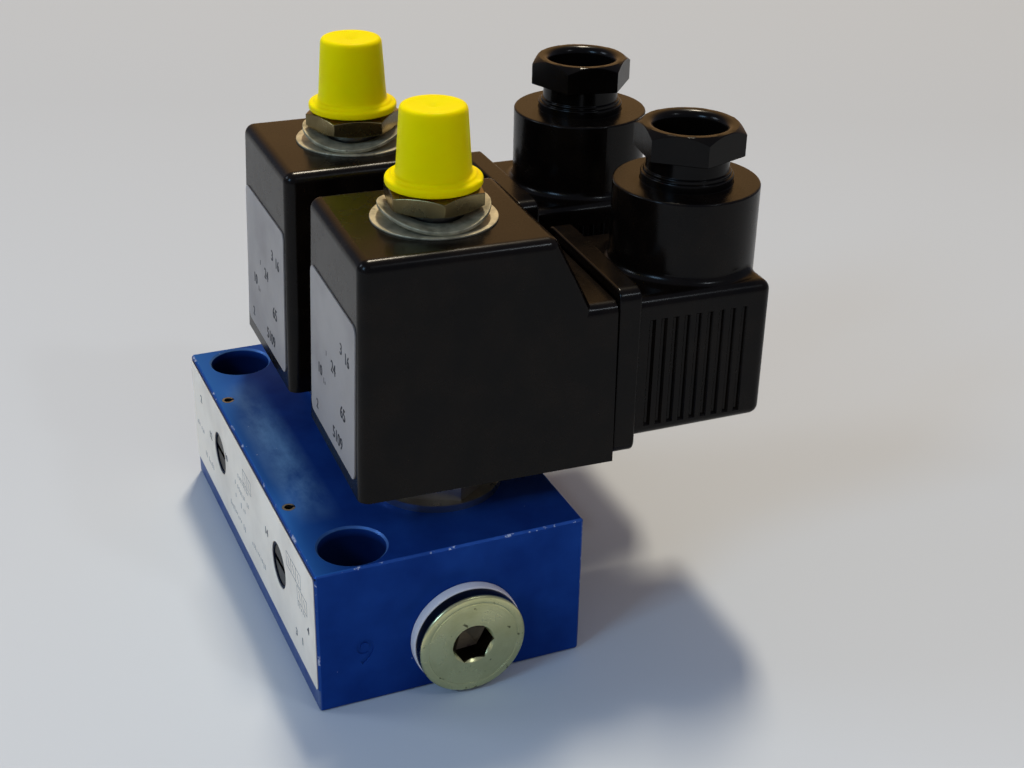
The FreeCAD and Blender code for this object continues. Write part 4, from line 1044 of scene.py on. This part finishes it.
@dataclass
class CoilStack(Assembly):
    """Flat washer, curved spring washer and nut on the threaded stud, with the stud's thread."""

    station: Station
    seat: float = 46.3
    bore: float = 5.1
    flat_radius: float = 9.85
    flat_thickness: float = 0.3
    wave_radius: float = 8.66
    wave_thickness: float = 0.6
    wave_lift: float = 1.7
    wave_steps: int = 8
    stretch: float = 1.05
    nut_foot: float = 48.6
    nut_flats: float = 14.0
    nut_height: float = 2.81
    nut_corner: float = 0.45
    nut_bearing: float = 6.9
    nut_bore: float = 5.0
    nut_lead: float = 0.3
    nut_mouth: float = 0.35
    nut_edge: float = 0.09
    nut_edge_from: float = 22.0
    stud_radius: float = 4.9
    stud_top: float = 55.2
    thread_pitch: float = 1.0
    thread_height: float = 0.14
    thread_start: float = 0.25
    thread_loss: float = 1.1

    def flat_washer(self) -> None:
        """Stamp the washer, with a rolled upper rim."""
        top = self.seat + self.flat_thickness
        corners = [
            (self.bore, self.seat), (self.flat_radius, self.seat, 0.05),
            (self.flat_radius, top, 0.12), (self.bore, top, 0.1),
        ]
        skin = Skin(128).turned(rounded(corners, True, 4), True)
        piece = skin.made("washer_" + self.station.end, self.station.place(), 40.0)
        self.settled(piece, "plated_steel", stands_for="flat_washer_" + self.station.end)

    def spring_washer(self) -> None:
        """Bend a washer about one diameter and stand it on that line."""
        low = self.seat + self.flat_thickness
        bend = (self.wave_radius**2 + self.wave_lift**2) / (2 * self.wave_lift)
        profile = rounded([
            (self.bore, 0.0, 0.1), (self.wave_radius, 0.0, 0.12),
            (self.wave_radius, self.wave_thickness, 0.16), (self.bore, self.wave_thickness, 0.12),
        ], True, 4)
        fuller: list[Point] = []
        for here, there in zip(profile, profile[1:] + profile[:1]):
            long = abs(here[0] - there[0]) > (self.wave_radius - self.bore) / 2
            for step in range(self.wave_steps if long else 1):
                share = step / self.wave_steps
                fuller.append(tuple(start + (end - start) * share for start, end in zip(here, there)))

        def bent(spot: Vector) -> Vector:
            """Lift a point onto the bend."""
            level = low + spot.z + bend - math.sqrt(bend * bend - spot.y * spot.y)
            return Vector((spot.x * self.stretch, spot.y, level))

        skin = Skin(128).turned(fuller, True).moved(bent)
        place = self.station.place(self.station.wave_turn)
        piece = skin.made("curved_washer_" + self.station.end, place, 40.0)
        self.settled(piece, "spring_steel", stands_for="spring_washer_" + self.station.end)

    def nut(self) -> None:
        """Make the thin hexagon nut, with both faces turned down at the corners."""
        radius = hexagon(self.nut_flats)
        drop = corner_drop(self.nut_flats, self.nut_bearing, self.nut_corner)
        foot, crown = self.nut_foot, self.nut_foot + self.nut_height
        skin = Skin(96)
        rings = [
            skin.ring(self.nut_bore, foot + self.nut_lead),
            skin.ring(self.nut_bore + self.nut_lead, foot),
            skin.ring(self.nut_bearing, foot),
            skin.ring(radius, lambda angle: foot + drop(angle)),
            skin.ring(radius, lambda angle: crown - drop(angle)),
            skin.ring(self.nut_bearing, crown),
            skin.ring(self.nut_bore + self.nut_mouth, crown),
            skin.ring(self.nut_bore, crown - self.nut_mouth),
        ]
        place = self.station.place(self.station.nut_turn)
        piece = skin.loft(rings, True).made("nut_" + self.station.end, place, 20.0)
        bevel = piece.modifiers.new("edge_rounding", "BEVEL")
        bevel.width = self.nut_edge * MM
        bevel.segments = 2
        bevel.limit_method = "ANGLE"
        bevel.angle_limit = math.radians(self.nut_edge_from)
        self.settled(piece, "brass", stands_for="coil_nut_" + self.station.end)

    def thread(self) -> None:
        """Cut the stud's thread, one turn for each pitch, under the cap."""
        top = self.nut_foot + self.nut_height
        growth = Growth(
            "stud_thread_" + self.station.end, Radius=self.stud_radius, Wire=self.thread_height,
            Pitch=self.thread_pitch, Turns=(self.stud_top - top - self.thread_loss) / self.thread_pitch,
        )
        height = growth.times(growth.entry["Pitch"], growth.entry["Turns"])
        place = self.station.place(rise=top + self.thread_start)
        piece = growth.grown(growth.helix(height, 72, 6), self.paints.made["pin_steel"], place)
        self.settled(piece, "stainless_steel")

    def build(self) -> None:
        """Make the stack from the coil's top upwards."""
        self.flat_washer()
        self.spring_washer()
        self.nut()
        self.thread()


@dataclass
class ArmatureSpring(Assembly):
    """Coil spring in the armature's well."""

    station: Station
    radius: float = 3.45
    wire: float = 0.27
    turns: float = 4.0
    travel: float = 1.2

    def build(self) -> None:
        """Wind the spring between the well's floor and the core."""
        end = self.station.end
        low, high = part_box("armature_spring_" + end)
        length = (high.z - low.z) / MM
        growth = Growth(
            "armature_coil_" + end, Radius=self.radius, Turns=self.turns, Wire=self.wire,
            Height=length - 2 * self.wire,
        )
        place = self.station.place(rise=low.z / MM - BLOCK_TOP + self.wire)
        coil = growth.helix(growth.entry["Height"], 48, 10)
        piece = growth.grown(coil, self.paints.made["spring_steel"], place)
        self.settled(piece, "spring_steel", stands_for="armature_spring_" + end)
        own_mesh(piece)


@dataclass
class GlandNut(Assembly):
    """Hexagon gland nut at the top of the cable turret."""

    station: Station
    turret_back: float = 42.6
    lip: float = 47.6
    foot: float = 42.3
    thread_radius: float = 7.55
    collar_radius: float = 7.5
    collar: float = 1.4
    step_radius: float = 7.05
    step: float = 0.6
    barrel_radius: float = 6.7
    barrel: float = 2.7
    flats: float = 15.7
    hex_height: float = 4.7
    corner: float = 1.1
    soft: float = 0.12
    crown_in: float = 0.14
    crown_down: float = 0.02
    bore: float = 5.7
    mouth: float = 1.3
    mouth_steps: int = 8

    def build(self) -> None:
        """Make the nut with a rolled mouth and soft edges."""
        radius = hexagon(self.flats)
        bearing = self.flats / 2 - 0.1
        drop = corner_drop(self.flats, bearing, self.corner)
        brim = self.lip + self.collar
        waist = brim + self.step
        under = waist + self.barrel
        top = under + self.hex_height
        low = [
            (self.bore, self.foot), (self.thread_radius, self.foot, 0.3),
            (self.thread_radius, self.lip - 0.05), (self.collar_radius, self.lip),
            (self.collar_radius, brim, 0.28), (self.step_radius, brim + 0.02, 0.12),
            (self.step_radius, waist, 0.25), (self.barrel_radius, waist + 0.02, 0.15),
            (self.barrel_radius, under, 0.3),
        ]
        skin = Skin(144)
        rings = [skin.ring(reach, height) for reach, height in rounded(low, False, 5)]
        rings += [
            skin.ring(lambda angle: radius(angle) - self.soft, under),
            skin.ring(radius, under + self.soft),
            skin.ring(radius, lambda angle: top - drop(angle) - self.crown_down),
            skin.ring(
                lambda angle: radius(angle) - self.crown_in,
                lambda angle: top - max(0.0, drop(angle) - self.soft),
            ),
            skin.ring(bearing - 0.1, top),
        ]
        for step in range(self.mouth_steps + 1):
            angle = step / self.mouth_steps * math.pi / 2
            reach = self.bore + self.mouth * (1 - math.sin(angle))
            rings.append(skin.ring(reach, top - self.mouth * (1 - math.cos(angle))))
        place = self.station.place(self.station.gland_turn, self.turret_back)
        piece = skin.loft(rings, True).made("cable_nut_" + self.station.end, place, 30.0)
        self.settled(piece, "black_nylon_nut", stands_for="gland_nut_" + self.station.end)


@dataclass
class BlankingPlug(Assembly):
    """Screw plug with a hexagon socket, its white sealing ring and the tool marks on its face."""

    face: float = 40.0
    back: float = 1.8
    level: float = 9.35
    ring_bore: float = 6.7
    ring_radius: float = 9.1
    ring_thickness: float = 1.84
    ring_bulge: float = 0.06
    head_radius: float = 8.87
    head_thickness: float = 2.3
    head_edge: float = 0.55
    groove: Corner = (1.15, 1.3, 1.5)
    groove_depth: float = 0.05
    shank: float = 5.8
    shank_length: float = 9.0
    socket_flats: float = 6.1
    socket_depth: float = 3.6
    socket_turn: float = 3.0
    socket_tip: float = 1.2
    mouth_radius: float = 3.45
    mouth_rim: float = 0.45
    mouth_step: float = 0.03
    mouth_slope: float = 1.25
    marks: int = 5
    mark_start: float = 5.7
    mark_pitch: float = 0.42
    mark_rise: float = 0.022
    mark_sunk: float = 0.012
    unevenness: float = 0.3
    seed: int = 4

    @property
    def place(self) -> Matrix:
        """From the plug's own frame, Z outwards from the block's end, to the row frame."""
        return Matrix.Translation((self.face, self.back, self.level)) @ ENDWISE

    def ring(self) -> None:
        """Make the flat sealing ring, squeezed slightly barrel-shaped."""
        top, inner = self.ring_thickness, self.ring_radius - self.ring_bulge
        corners = [
            (self.ring_bore, 0.0, 0.15), (inner, 0.0, 0.25), (self.ring_radius, top / 2, 0.4),
            (inner, top, 0.25), (self.ring_bore, top, 0.15),
        ]
        piece = Skin(144).turned(rounded(corners, True, 4), True).made("seal_ring", self.place, 40.0)
        self.settled(piece, "white_nylon", stands_for="plug_sealing_ring")

    def plug(self) -> None:
        """Make the head, with a rounded rim and a countersunk socket, and the shank in the block."""
        start, seat, mouth = -self.shank_length, self.ring_thickness, self.mouth_radius
        top = seat + self.head_thickness
        radius = hexagon(self.socket_flats)

        def slope(angle: float) -> float:
            """How far the countersink has come down where it meets the socket."""
            return max(0.0, mouth - radius(angle)) * self.mouth_slope

        corners = [
            (self.shank - 0.4, start), (self.shank, start + 0.4), (self.shank, seat - 0.01),
            (self.head_radius, seat, 0.12), (self.head_radius, top - 0.02, self.head_edge),
            (self.head_radius - self.groove[0], top, 0.1),
            (self.head_radius - self.groove[1], top - self.groove_depth, 0.08),
            (self.head_radius - self.groove[2], top, 0.1), (mouth + self.mouth_rim, top),
        ]
        skin = Skin(144)
        rings = [skin.ring(reach, height) for reach, height in rounded(corners, False, 5)]
        rings += [
            skin.ring(lambda angle: max(mouth, radius(angle)) + 0.05, top),
            skin.ring(lambda angle: max(mouth, radius(angle)), top - self.mouth_step),
            skin.ring(radius, lambda angle: top - self.mouth_step - slope(angle)),
            skin.ring(radius, top - self.socket_depth),
            skin.ring(0.4, top - self.socket_depth - self.socket_tip),
        ]
        piece = skin.loft(rings, False).made("screw_plug", self.place @ turned(self.socket_turn), 30.0)
        self.settled(piece, "zinc_yellow_steel", stands_for="blanking_plug")

    def tool_marks(self) -> None:
        """Raise the fine rings that the lathe left on the face."""
        growth = Growth(
            "plug_tool_marks", Count=self.marks, Start=self.mark_start, Pitch=self.mark_pitch,
            Rise=self.mark_rise, Seed=self.seed,
        )
        entry = growth.entry
        line = growth.out("GeometryNodeMeshLine", {"Count": entry["Count"]})
        points = growth.out("GeometryNodeMeshToPoints", {0: line, "Radius": 0.01})
        number = growth.out("GeometryNodeInputIndex")
        uneven = growth.node("FunctionNodeRandomValue", {
            2: -self.unevenness, 3: self.unevenness, "ID": number, "Seed": entry["Seed"],
        })
        steps = growth.maths("ADD", number, uneven.outputs[1])
        reach = growth.maths("ADD", entry["Start"], growth.times(steps, entry["Pitch"]))
        placed = growth.out("GeometryNodeSetPosition", {0: points, "Position": growth.spot()})
        rings = growth.out("GeometryNodeInstanceOnPoints", {
            "Points": placed, "Instance": growth.circle(96, 1.0), "Scale": growth.spot(reach, reach, 1.0),
        })
        tubes = growth.out("GeometryNodeCurveToMesh", {
            "Curve": growth.out("GeometryNodeRealizeInstances", {0: rings}),
            "Profile Curve": growth.circle(4, entry["Rise"]),
        })
        face = Matrix.Translation((0.0, 0.0, self.ring_thickness + self.head_thickness - self.mark_sunk))
        piece = growth.grown(tubes, self.paints.made["zinc_yellow_steel"], self.place @ face)
        self.settled(piece, "zinc_yellow_steel")

    def build(self) -> None:
        """Make the ring, the plug and its tool marks."""
        self.ring()
        self.plug()
        self.tool_marks()


@dataclass
class ValveBlock(Assembly):
    """The anodised block, with a plain figure cut into its end beside the plug."""

    end: float = 40.0
    figure: str = "9"
    high: float = 6.4
    depth: float = 0.2
    stroke: float = 0.06
    back: float = -16.3
    level: float = 7.5
    flush: float = 0.00001
    flat: float = 0.9999
    sharp: float = 24.0

    def cutter(self) -> Piece:
        """The figure as a solid that reaches into the block's end.

        Returns:
            The solid.
        """
        curve = bpy.data.curves.new("figure", "FONT")
        curve.body = self.figure
        curve.size = self.high
        curve.extrude = self.depth
        curve.offset = self.stroke / 2
        mesh = taken(linked("figure", curve))
        place = Matrix.Translation((self.end, self.back, self.level)) @ ENDWISE
        mesh.transform(Matrix.Scale(MM, 4) @ place)
        return linked("figure_cutter", merged(mesh, "figure_cutter"))

    def build(self) -> None:
        """Copy the block, merge its triangles and cut the figure."""
        block = linked("block_body", merged(frame["nodes"]["valve_block"].data, "block_whole"))
        cutter = self.cutter()
        cut = block.modifiers.new("figure", "BOOLEAN")
        cut.operation = "DIFFERENCE"
        cut.solver = "EXACT"
        cut.object = cutter
        carved = block.data = taken(block, keep=True)
        carved.name = "block_body"
        bpy.data.objects.remove(cutter)
        stale = carved.attributes.get("custom_normal")
        if stale is not None:
            carved.attributes.remove(stale)
        tidy = bmesh.new()
        tidy.from_mesh(carved)
        bmesh.ops.triangulate(tidy, faces=tidy.faces, ngon_method="EAR_CLIP")
        for face in tidy.faces:
            on_end = all(abs(corner.co.x - self.end * MM) < self.flush for corner in face.verts)
            face.smooth = not on_end and max(abs(part) for part in face.normal) < self.flat
        tidy.to_mesh(carved)
        tidy.free()
        carved.set_sharp_from_angle(angle=math.radians(self.sharp))
        self.settled(block, "anodised_block", stands_for="valve_block")


@dataclass
class BlockFilm(Assembly):
    """The label on the block's front, a thin sheet cut out round the two overrides."""

    left: float = -39.5
    right: float = 39.45
    foot: float = 3.9
    head: float = 24.5
    corner: float = 0.7
    thickness: float = 0.2
    face: float = 22.25
    hole: float = 4.0
    hole_level: float = 14.8
    around: int = 64

    def outline(self, curve: bpy.types.Curve, points: Sequence[Point]) -> None:
        """Add one closed line to the sheet.

        Args:
            curve: The sheet.
            points: The line's points.
        """
        line = curve.splines.new("POLY")
        line.points.add(len(points) - 1)
        for spot, (across, up) in zip(line.points, points):
            spot.co = (across, up, 0.0, 1.0)
        line.use_cyclic_u = True

    def build(self) -> None:
        """Cut the sheet and lay it on the block."""
        curve = bpy.data.curves.new("block_film", "CURVE")
        curve.dimensions = "2D"
        curve.fill_mode = "BOTH"
        curve.extrude = self.thickness / 2
        self.outline(curve, rounded([
            (self.left, self.foot, self.corner), (self.right, self.foot, self.corner),
            (self.right, self.head, self.corner), (self.left, self.head, self.corner),
        ], True, 6))
        turns = [math.tau * at / self.around for at in range(self.around)]
        for station in Station:
            middle = station.side * STATION_X
            self.outline(curve, [
                (middle + self.hole * math.cos(turn), self.hole_level + self.hole * math.sin(turn))
                for turn in turns
            ])
        sheet = taken(linked("block_sheet", curve))
        place = Matrix.Translation((0.0, -self.face - self.thickness / 2, 0.0)) @ UPRIGHT
        sheet.transform(Matrix.Scale(MM, 4) @ place)
        piece = linked("block_film", merged(sheet, "block_film"))
        self.settled(piece, "label_film", stands_for="block_label")


@dataclass
class Print(Assembly):
    """Thin print on a label: plain numbers, rows of worn strokes, and square cells with a stroke in each.

    Attributes:
        name: Start of its pieces' names.
        place: The label's face: X to the right, Y up and Z out of it, in millimetres.
        finish: Its ink.
        figures: Numbers, each with its place across and up, and its height.
        rows: Rows of strokes, each with its place, count, pitch and seed.
        cells: Rows of cells, each with its place and count.
        rise: Thickness of the ink.
        bold: How far apart the three prints of a number lie, which makes it bold.
        stroke: Width and height of a stroke.
        keep: Share of strokes that aren't worn off.
        heights: Span of the shares of their height that are left.
        drift: How far they stray up or down.
        side: Side of a cell.
        line: Width of its lines.
        stroke_share: Length of a cell's stroke as a share of its side.
        stroke_lean: How far that stroke leans, in radians.
    """

    name: str
    place: Matrix
    finish: str
    figures: tuple[tuple[str, float, float, float], ...]
    rows: tuple[tuple[float, float, int, float, int], ...]
    cells: tuple[tuple[float, float, int], ...] = ()
    rise: float = 0.02
    bold: Corner = (0.09, 0.02, 0.0)
    stroke: Point = (0.22, 1.0)
    keep: float = 0.8
    heights: Point = (0.45, 1.15)
    drift: float = 0.18
    side: float = 2.6
    line: float = 0.12
    stroke_share: float = 0.62
    stroke_lean: float = 0.5

    def settle(self, growth: Growth, shape: Socket, across: float, up: float, out: float) -> None:
        """Grow one piece of print on the label."""
        place = self.place @ Matrix.Translation((across, up, out))
        self.settled(growth.grown(shape, self.paints.made[self.finish], place), "label_film")

    def number(self, name: str, words: str, across: float, up: float, high: float) -> None:
        """Print one number.

        Args:
            name: The piece's name.
            words: The number.
            across: Its place across the label.
            up: Its place up the label.
            high: Its height.
        """
        growth = Growth(name, Height=high, Rise=self.rise)
        outline = growth.out("GeometryNodeStringToCurves", {
            "String": words, "Size": growth.entry["Height"],
        })
        filled = growth.out("GeometryNodeFillCurve", {0: outline})
        flat = growth.out("GeometryNodeRealizeInstances", {0: filled})
        raised = growth.out("GeometryNodeExtrudeMesh", {
            "Mesh": flat, "Offset Scale": growth.entry["Rise"], "Individual": False,
        })
        under = growth.out("GeometryNodeFlipFaces", {0: flat})
        both = growth.out("GeometryNodeJoinGeometry", {0: [raised, under]})
        closed = growth.out("GeometryNodeMergeByDistance", {"Geometry": both, "Distance": 0.001})
        copies = growth.out("GeometryNodeMeshLine", {"Count": 3, "Offset": self.bold})
        bold = growth.out("GeometryNodeInstanceOnPoints", {"Points": copies, "Instance": closed})
        self.settle(growth, bold, across, up, 0.0)

    def strokes(
        self, name: str, across: float, up: float, count: int, pitch: float, seed: int
    ) -> None:
        """Print one row of short strokes, uneven as worn print is.

        Args:
            name: The piece's name.
            across: Its place across the label.
            up: Its place up the label.
            count: How many strokes it had when new.
            pitch: From one stroke to the next.
            seed: Seed of its wear.
        """
        wide, high = self.stroke
        growth = Growth(name, Count=count, Pitch=pitch, Width=wide, Height=high, Rise=self.rise, Seed=seed)
        entry = growth.entry
        line = growth.out("GeometryNodeMeshLine", {
            "Count": entry["Count"], "Offset": growth.spot(entry["Pitch"]),
        })
        stroke = growth.out("GeometryNodeMeshCube", {
            "Size": growth.spot(entry["Width"], entry["Height"], entry["Rise"]),
        })
        size = growth.node("FunctionNodeRandomValue", {
            2: self.heights[0], 3: self.heights[1], "Seed": entry["Seed"],
        })
        later = growth.maths("ADD", entry["Seed"], 7)
        shift = growth.node("FunctionNodeRandomValue", {2: -self.drift, 3: self.drift, "Seed": later})
        keep = growth.node(
            "FunctionNodeRandomValue", {"Probability": self.keep, "Seed": entry["Seed"]}, data_type="BOOLEAN"
        )
        points = growth.out("GeometryNodeSetPosition", {
            0: line, "Offset": growth.spot(0.0, shift.outputs[1]),
        })
        row = growth.out("GeometryNodeInstanceOnPoints", {
            "Points": points, "Selection": keep.outputs[3], "Instance": stroke,
            "Scale": growth.spot(1.0, size.outputs[1], 1.0),
        })
        self.settle(growth, row, across, up, self.rise / 2)

    def squares(self, name: str, across: float, up: float, count: int) -> None:
        """Print one row of cells, as on a schematic.

        Args:
            name: The piece's name.
            across: Its place across the label.
            up: Its place up the label.
            count: How many cells it has.
        """
        growth = Growth(name, Cells=count, Side=self.side, Line=self.line, Rise=self.rise)
        side, line, rise = (growth.entry[size] for size in ("Side", "Line", "Rise"))
        row = growth.out("GeometryNodeMeshLine", {
            "Count": growth.entry["Cells"], "Offset": growth.spot(side),
        })
        square = growth.out("GeometryNodeCurvePrimitiveQuadrilateral", {"Width": side, "Height": side})
        bar = growth.out("GeometryNodeCurvePrimitiveQuadrilateral", {"Width": line, "Height": rise})
        outline = growth.out("GeometryNodeCurveToMesh", {"Curve": square, "Profile Curve": bar})
        stroke = growth.out("GeometryNodeMeshCube", {
            "Size": growth.spot(line, growth.times(side, self.stroke_share), rise),
        })
        leaning = growth.out("GeometryNodeTransform", {
            "Geometry": stroke, "Rotation": (0.0, 0.0, self.stroke_lean),
        })
        cell = growth.out("GeometryNodeJoinGeometry", {0: [outline, leaning]})
        cells = growth.out("GeometryNodeInstanceOnPoints", {"Points": row, "Instance": cell})
        self.settle(growth, cells, across, up, self.rise / 2)

    def build(self) -> None:
        """Print everything."""
        for at, item in enumerate(self.figures):
            self.number("%s_figures_%d" % (self.name, at), *item)
        for at, item in enumerate(self.rows):
            self.strokes("%s_strokes_%d" % (self.name, at), *item)
        for at, item in enumerate(self.cells):
            self.squares("block_cells_%d" % at, *item)


@dataclass
class Labels(Assembly):
    """The print on the block's label and on the two coils' labels."""

    block_face: float = 22.45
    coil_face: float = 17.27
    coil_seat: float = 7.3
    coil_lean: float = -1.72

    def build(self) -> None:
        """Print all three labels."""
        Print(
            self.paints, "block_print",
            Matrix.Translation((0.0, -self.block_face, 0.0)) @ UPRIGHT, "faded_ink",
            figures=(
                ("12", -27.6, 14.2, 2.0), ("14", 11.4, 16.4, 2.0), ("10", -15.5, 16.0, 1.8),
                ("2", -33.5, 18.6, 2.2), ("3", 28.2, 7.2, 2.0), ("1", 31.6, 7.6, 2.0), ("4", 35.2, 12.2, 2.0),
            ),
            rows=(
                (-33.0, 8.0, 9, 0.85, 3), (-8.5, 14.8, 11, 0.9, 5), (-9.5, 12.0, 9, 0.9, 8),
                (-6.0, 17.6, 8, 0.95, 11), (-13.0, 8.2, 12, 0.9, 13), (2.0, 8.4, 10, 0.9, 17),
                (30.6, 14.6, 5, 0.9, 21), (-37.5, 12.4, 8, 0.8, 23),
            ),
            cells=((26.0, 19.6, 3), (31.6, 16.6, 2), (-1.0, 19.6, 2)),
        ).build()
        for station in Station:
            front = station.place(back=-self.coil_face, rise=self.coil_seat)
            Print(
                self.paints, "coil_print_" + station.end,
                front @ turned(self.coil_lean, "X") @ UPRIGHT, "print_ink",
                figures=(
                    ("3", 4.6, 20.6, 2.7), ("16", 7.3, 20.2, 2.7), ("24", -0.6, 15.2, 2.8),
                    ("10", -8.6, 11.4, 2.6), ("65", 4.9, 10.0, 3.0), ("2", -9.8, 4.2, 2.4),
                    ("5109", 0.4, 4.2, 2.9),
                ),
                rows=((-4.2, 17.0, 2, 0.9, 2), (-4.9, 11.2, 2, 0.8, 4)),
            ).build()


@dataclass(frozen=True)
class Eye:
    """The camera, solved from the photograph.

    Attributes:
        focus: Focal length in pixels of the frame.
        frame_width: The frame's width in pixels.
        sensor: Its width in millimetres.
        azimuth: Direction of view, 0 along +Y, in degrees.
        elevation: Height above the horizon in degrees.
        roll: Turn about the line of sight in degrees.
        target: The point that the line of sight passes, in millimetres.
        distance: Distance from that point in millimetres.
    """

    focus: float = 1569.87
    frame_width: float = 1024.0
    sensor: float = 36.0
    azimuth: float = 66.155
    elevation: float = 27.488
    roll: float = 1.256
    target: Corner = (60.86, 0.0, 63.88)
    distance: float = 207.0

    def build(self) -> None:
        """Make the camera and look through it."""
        turn, lift, tilt = (math.radians(value) for value in (self.azimuth, self.elevation, self.roll))
        back = Vector((math.sin(turn) * math.cos(lift), -math.cos(turn) * math.cos(lift), math.sin(lift)))
        level = Vector((math.cos(turn), math.sin(turn), 0.0))
        rise = back.cross(level)
        right = level * math.cos(tilt) + rise * math.sin(tilt)
        up = rise * math.cos(tilt) - level * math.sin(tilt)
        data = bpy.data.cameras.new("eye")
        data.sensor_width = self.sensor
        data.sensor_fit = "HORIZONTAL"
        data.lens = self.focus / self.frame_width * self.sensor
        data.clip_start, data.clip_end = 0.01, 20.0
        camera = linked("eye", data)
        spot = (Vector(self.target) + back * self.distance) * MM
        camera.matrix_world = Matrix.Translation(spot) @ Matrix((right, up, back)).transposed().to_4x4()
        bpy.context.scene.camera = camera


@dataclass(frozen=True)
class Lamp:
    """One soft lamp.

    Attributes:
        name: Plain name.
        spot: Its place in metres.
        power: Its power in watts.
        wide: Its width in metres.
        high: Its height in metres.
        colour: Its colour.
        aim: The point that it faces, in metres.
    """

    name: str
    spot: Corner
    power: float
    wide: float
    high: float
    colour: Colour
    aim: Corner = (0.0, 0.01, 0.04)

    def build(self) -> None:
        """Hang the lamp."""
        data = bpy.data.lights.new(self.name, "AREA")
        data.shape = "RECTANGLE"
        data.size, data.size_y = self.wide, self.high
        data.energy = self.power
        data.color = self.colour
        facing = (Vector(self.spot) - Vector(self.aim)).to_track_quat("Z", "Y")
        linked(self.name, data).matrix_world = Matrix.Translation(self.spot) @ facing.to_matrix().to_4x4()


@dataclass
class Studio:
    """Pale floor, soft lamps and the world's plain light.

    Attributes:
        reach: Half of the floor's side in metres.
        floor_near: The floor's colour nearest to the camera.
        floor_far: Its colour furthest from it.
        floor_span: Distances behind the middle, in metres, over which it changes.
        sky: Colour of the world.
        glow: Its warmer colour on the far side.
        glow_way: Direction of that side.
        glow_span: Cosines from that direction between which the glow grows to full.
        lamps: The lamps.
    """

    reach: float = 3.0
    floor_near: Colour = (0.565, 0.60, 0.64)
    floor_far: Colour = (0.475, 0.50, 0.53)
    floor_span: Point = (-0.08, 0.26)
    sky: Colour = (0.21, 0.225, 0.285)
    glow: Colour = (0.80, 0.46, 0.19)
    glow_way: Corner = (-0.82, 0.40, 0.42)
    glow_span: Point = (0.7, 1.0)
    lamps: list[Lamp] = field(default_factory=lambda: [
        Lamp("ceiling", (-0.84, 0.44, 1.88), 31.0, 0.20, 0.45, (1.0, 0.89, 0.70)),
        Lamp("window", (-0.50, -0.97, 0.78), 2.9, 0.34, 0.34, (0.72, 0.84, 1.0)),
        Lamp("bay", (0.42, -0.99, 0.75), 4.6, 0.34, 0.34, (0.40, 0.68, 1.0)),
        Lamp("skylight", (0.62, 0.36, 0.78), 0.7, 0.07, 0.07, (0.85, 0.93, 1.0)),
    ])

    def floor(self) -> None:
        """Lay the floor, a little darker towards the back, as painted shade."""
        mesh = bpy.data.meshes.new("floor")
        near, far = -self.reach, self.reach
        corners = [(near, near, 0.0), (far, near, 0.0), (far, far, 0.0), (near, far, 0.0)]
        mesh.from_pydata(corners, [], [(0, 1, 2, 3)])
        recipe = Recipe("floor_sheet")
        across, along, _ = recipe.parts(recipe.place)
        # Painted shade: the floor's colour darkens towards the back.
        away = recipe.maths("SUBTRACT", recipe.times(along, 0.4), recipe.times(across, 0.9))
        colour = recipe.blend(recipe.span(away, *self.floor_span), self.floor_near, self.floor_far)
        recipe.dress({"Base Color": colour, "Roughness": 0.7, "Specular IOR Level": 0.05})
        mesh.materials.append(recipe.material)
        linked("floor", mesh)

    def sky_light(self) -> None:
        """Set the world's plain light, warmer on the far side."""
        world = bpy.data.worlds.new("room")
        bpy.context.scene.world = world
        world.use_nodes = True
        tree = Tree(world.node_tree)
        way = tree.node("ShaderNodeTexCoord").outputs["Generated"]
        aim = Vector(self.glow_way).normalized()
        along = tree.node("ShaderNodeVectorMath", {0: way, 1: aim}, operation="DOT_PRODUCT").outputs["Value"]
        start, full = self.glow_span
        near = tree.out(
            "ShaderNodeMapRange", {0: along, 1: start, 2: full}, interpolation_type="SMOOTHSTEP"
        )
        mix = tree.node("ShaderNodeMix", {0: near, 6: self.sky, 7: self.glow}, data_type="RGBA")
        shade = world.node_tree.nodes["Background"]
        tree.feed(shade.inputs[0], mix.outputs[2])
        tree.feed(shade.inputs[1], 1.0)

    def build(self) -> None:
        """Lay the floor and light it."""
        self.floor()
        self.sky_light()
        for lamp in self.lamps:
            lamp.build()
        bpy.context.scene.view_settings.view_transform = "Standard"


def main() -> None:
    """Build the scene."""
    logging.basicConfig(level=logging.INFO, format="%(name)s: %(message)s")
    paints = Paints()
    paints.dress_nodes()
    for station in Station:
        for kind in (ArmatureSpring, CoilStack, Cap, GlandNut):
            kind(paints, station).build()
    for kind in (ValveBlock, BlockFilm, BlankingPlug, Labels):
        kind(paints).build()
    Eye().build()
    Studio().build()


if __name__ == "__main__":
    main()
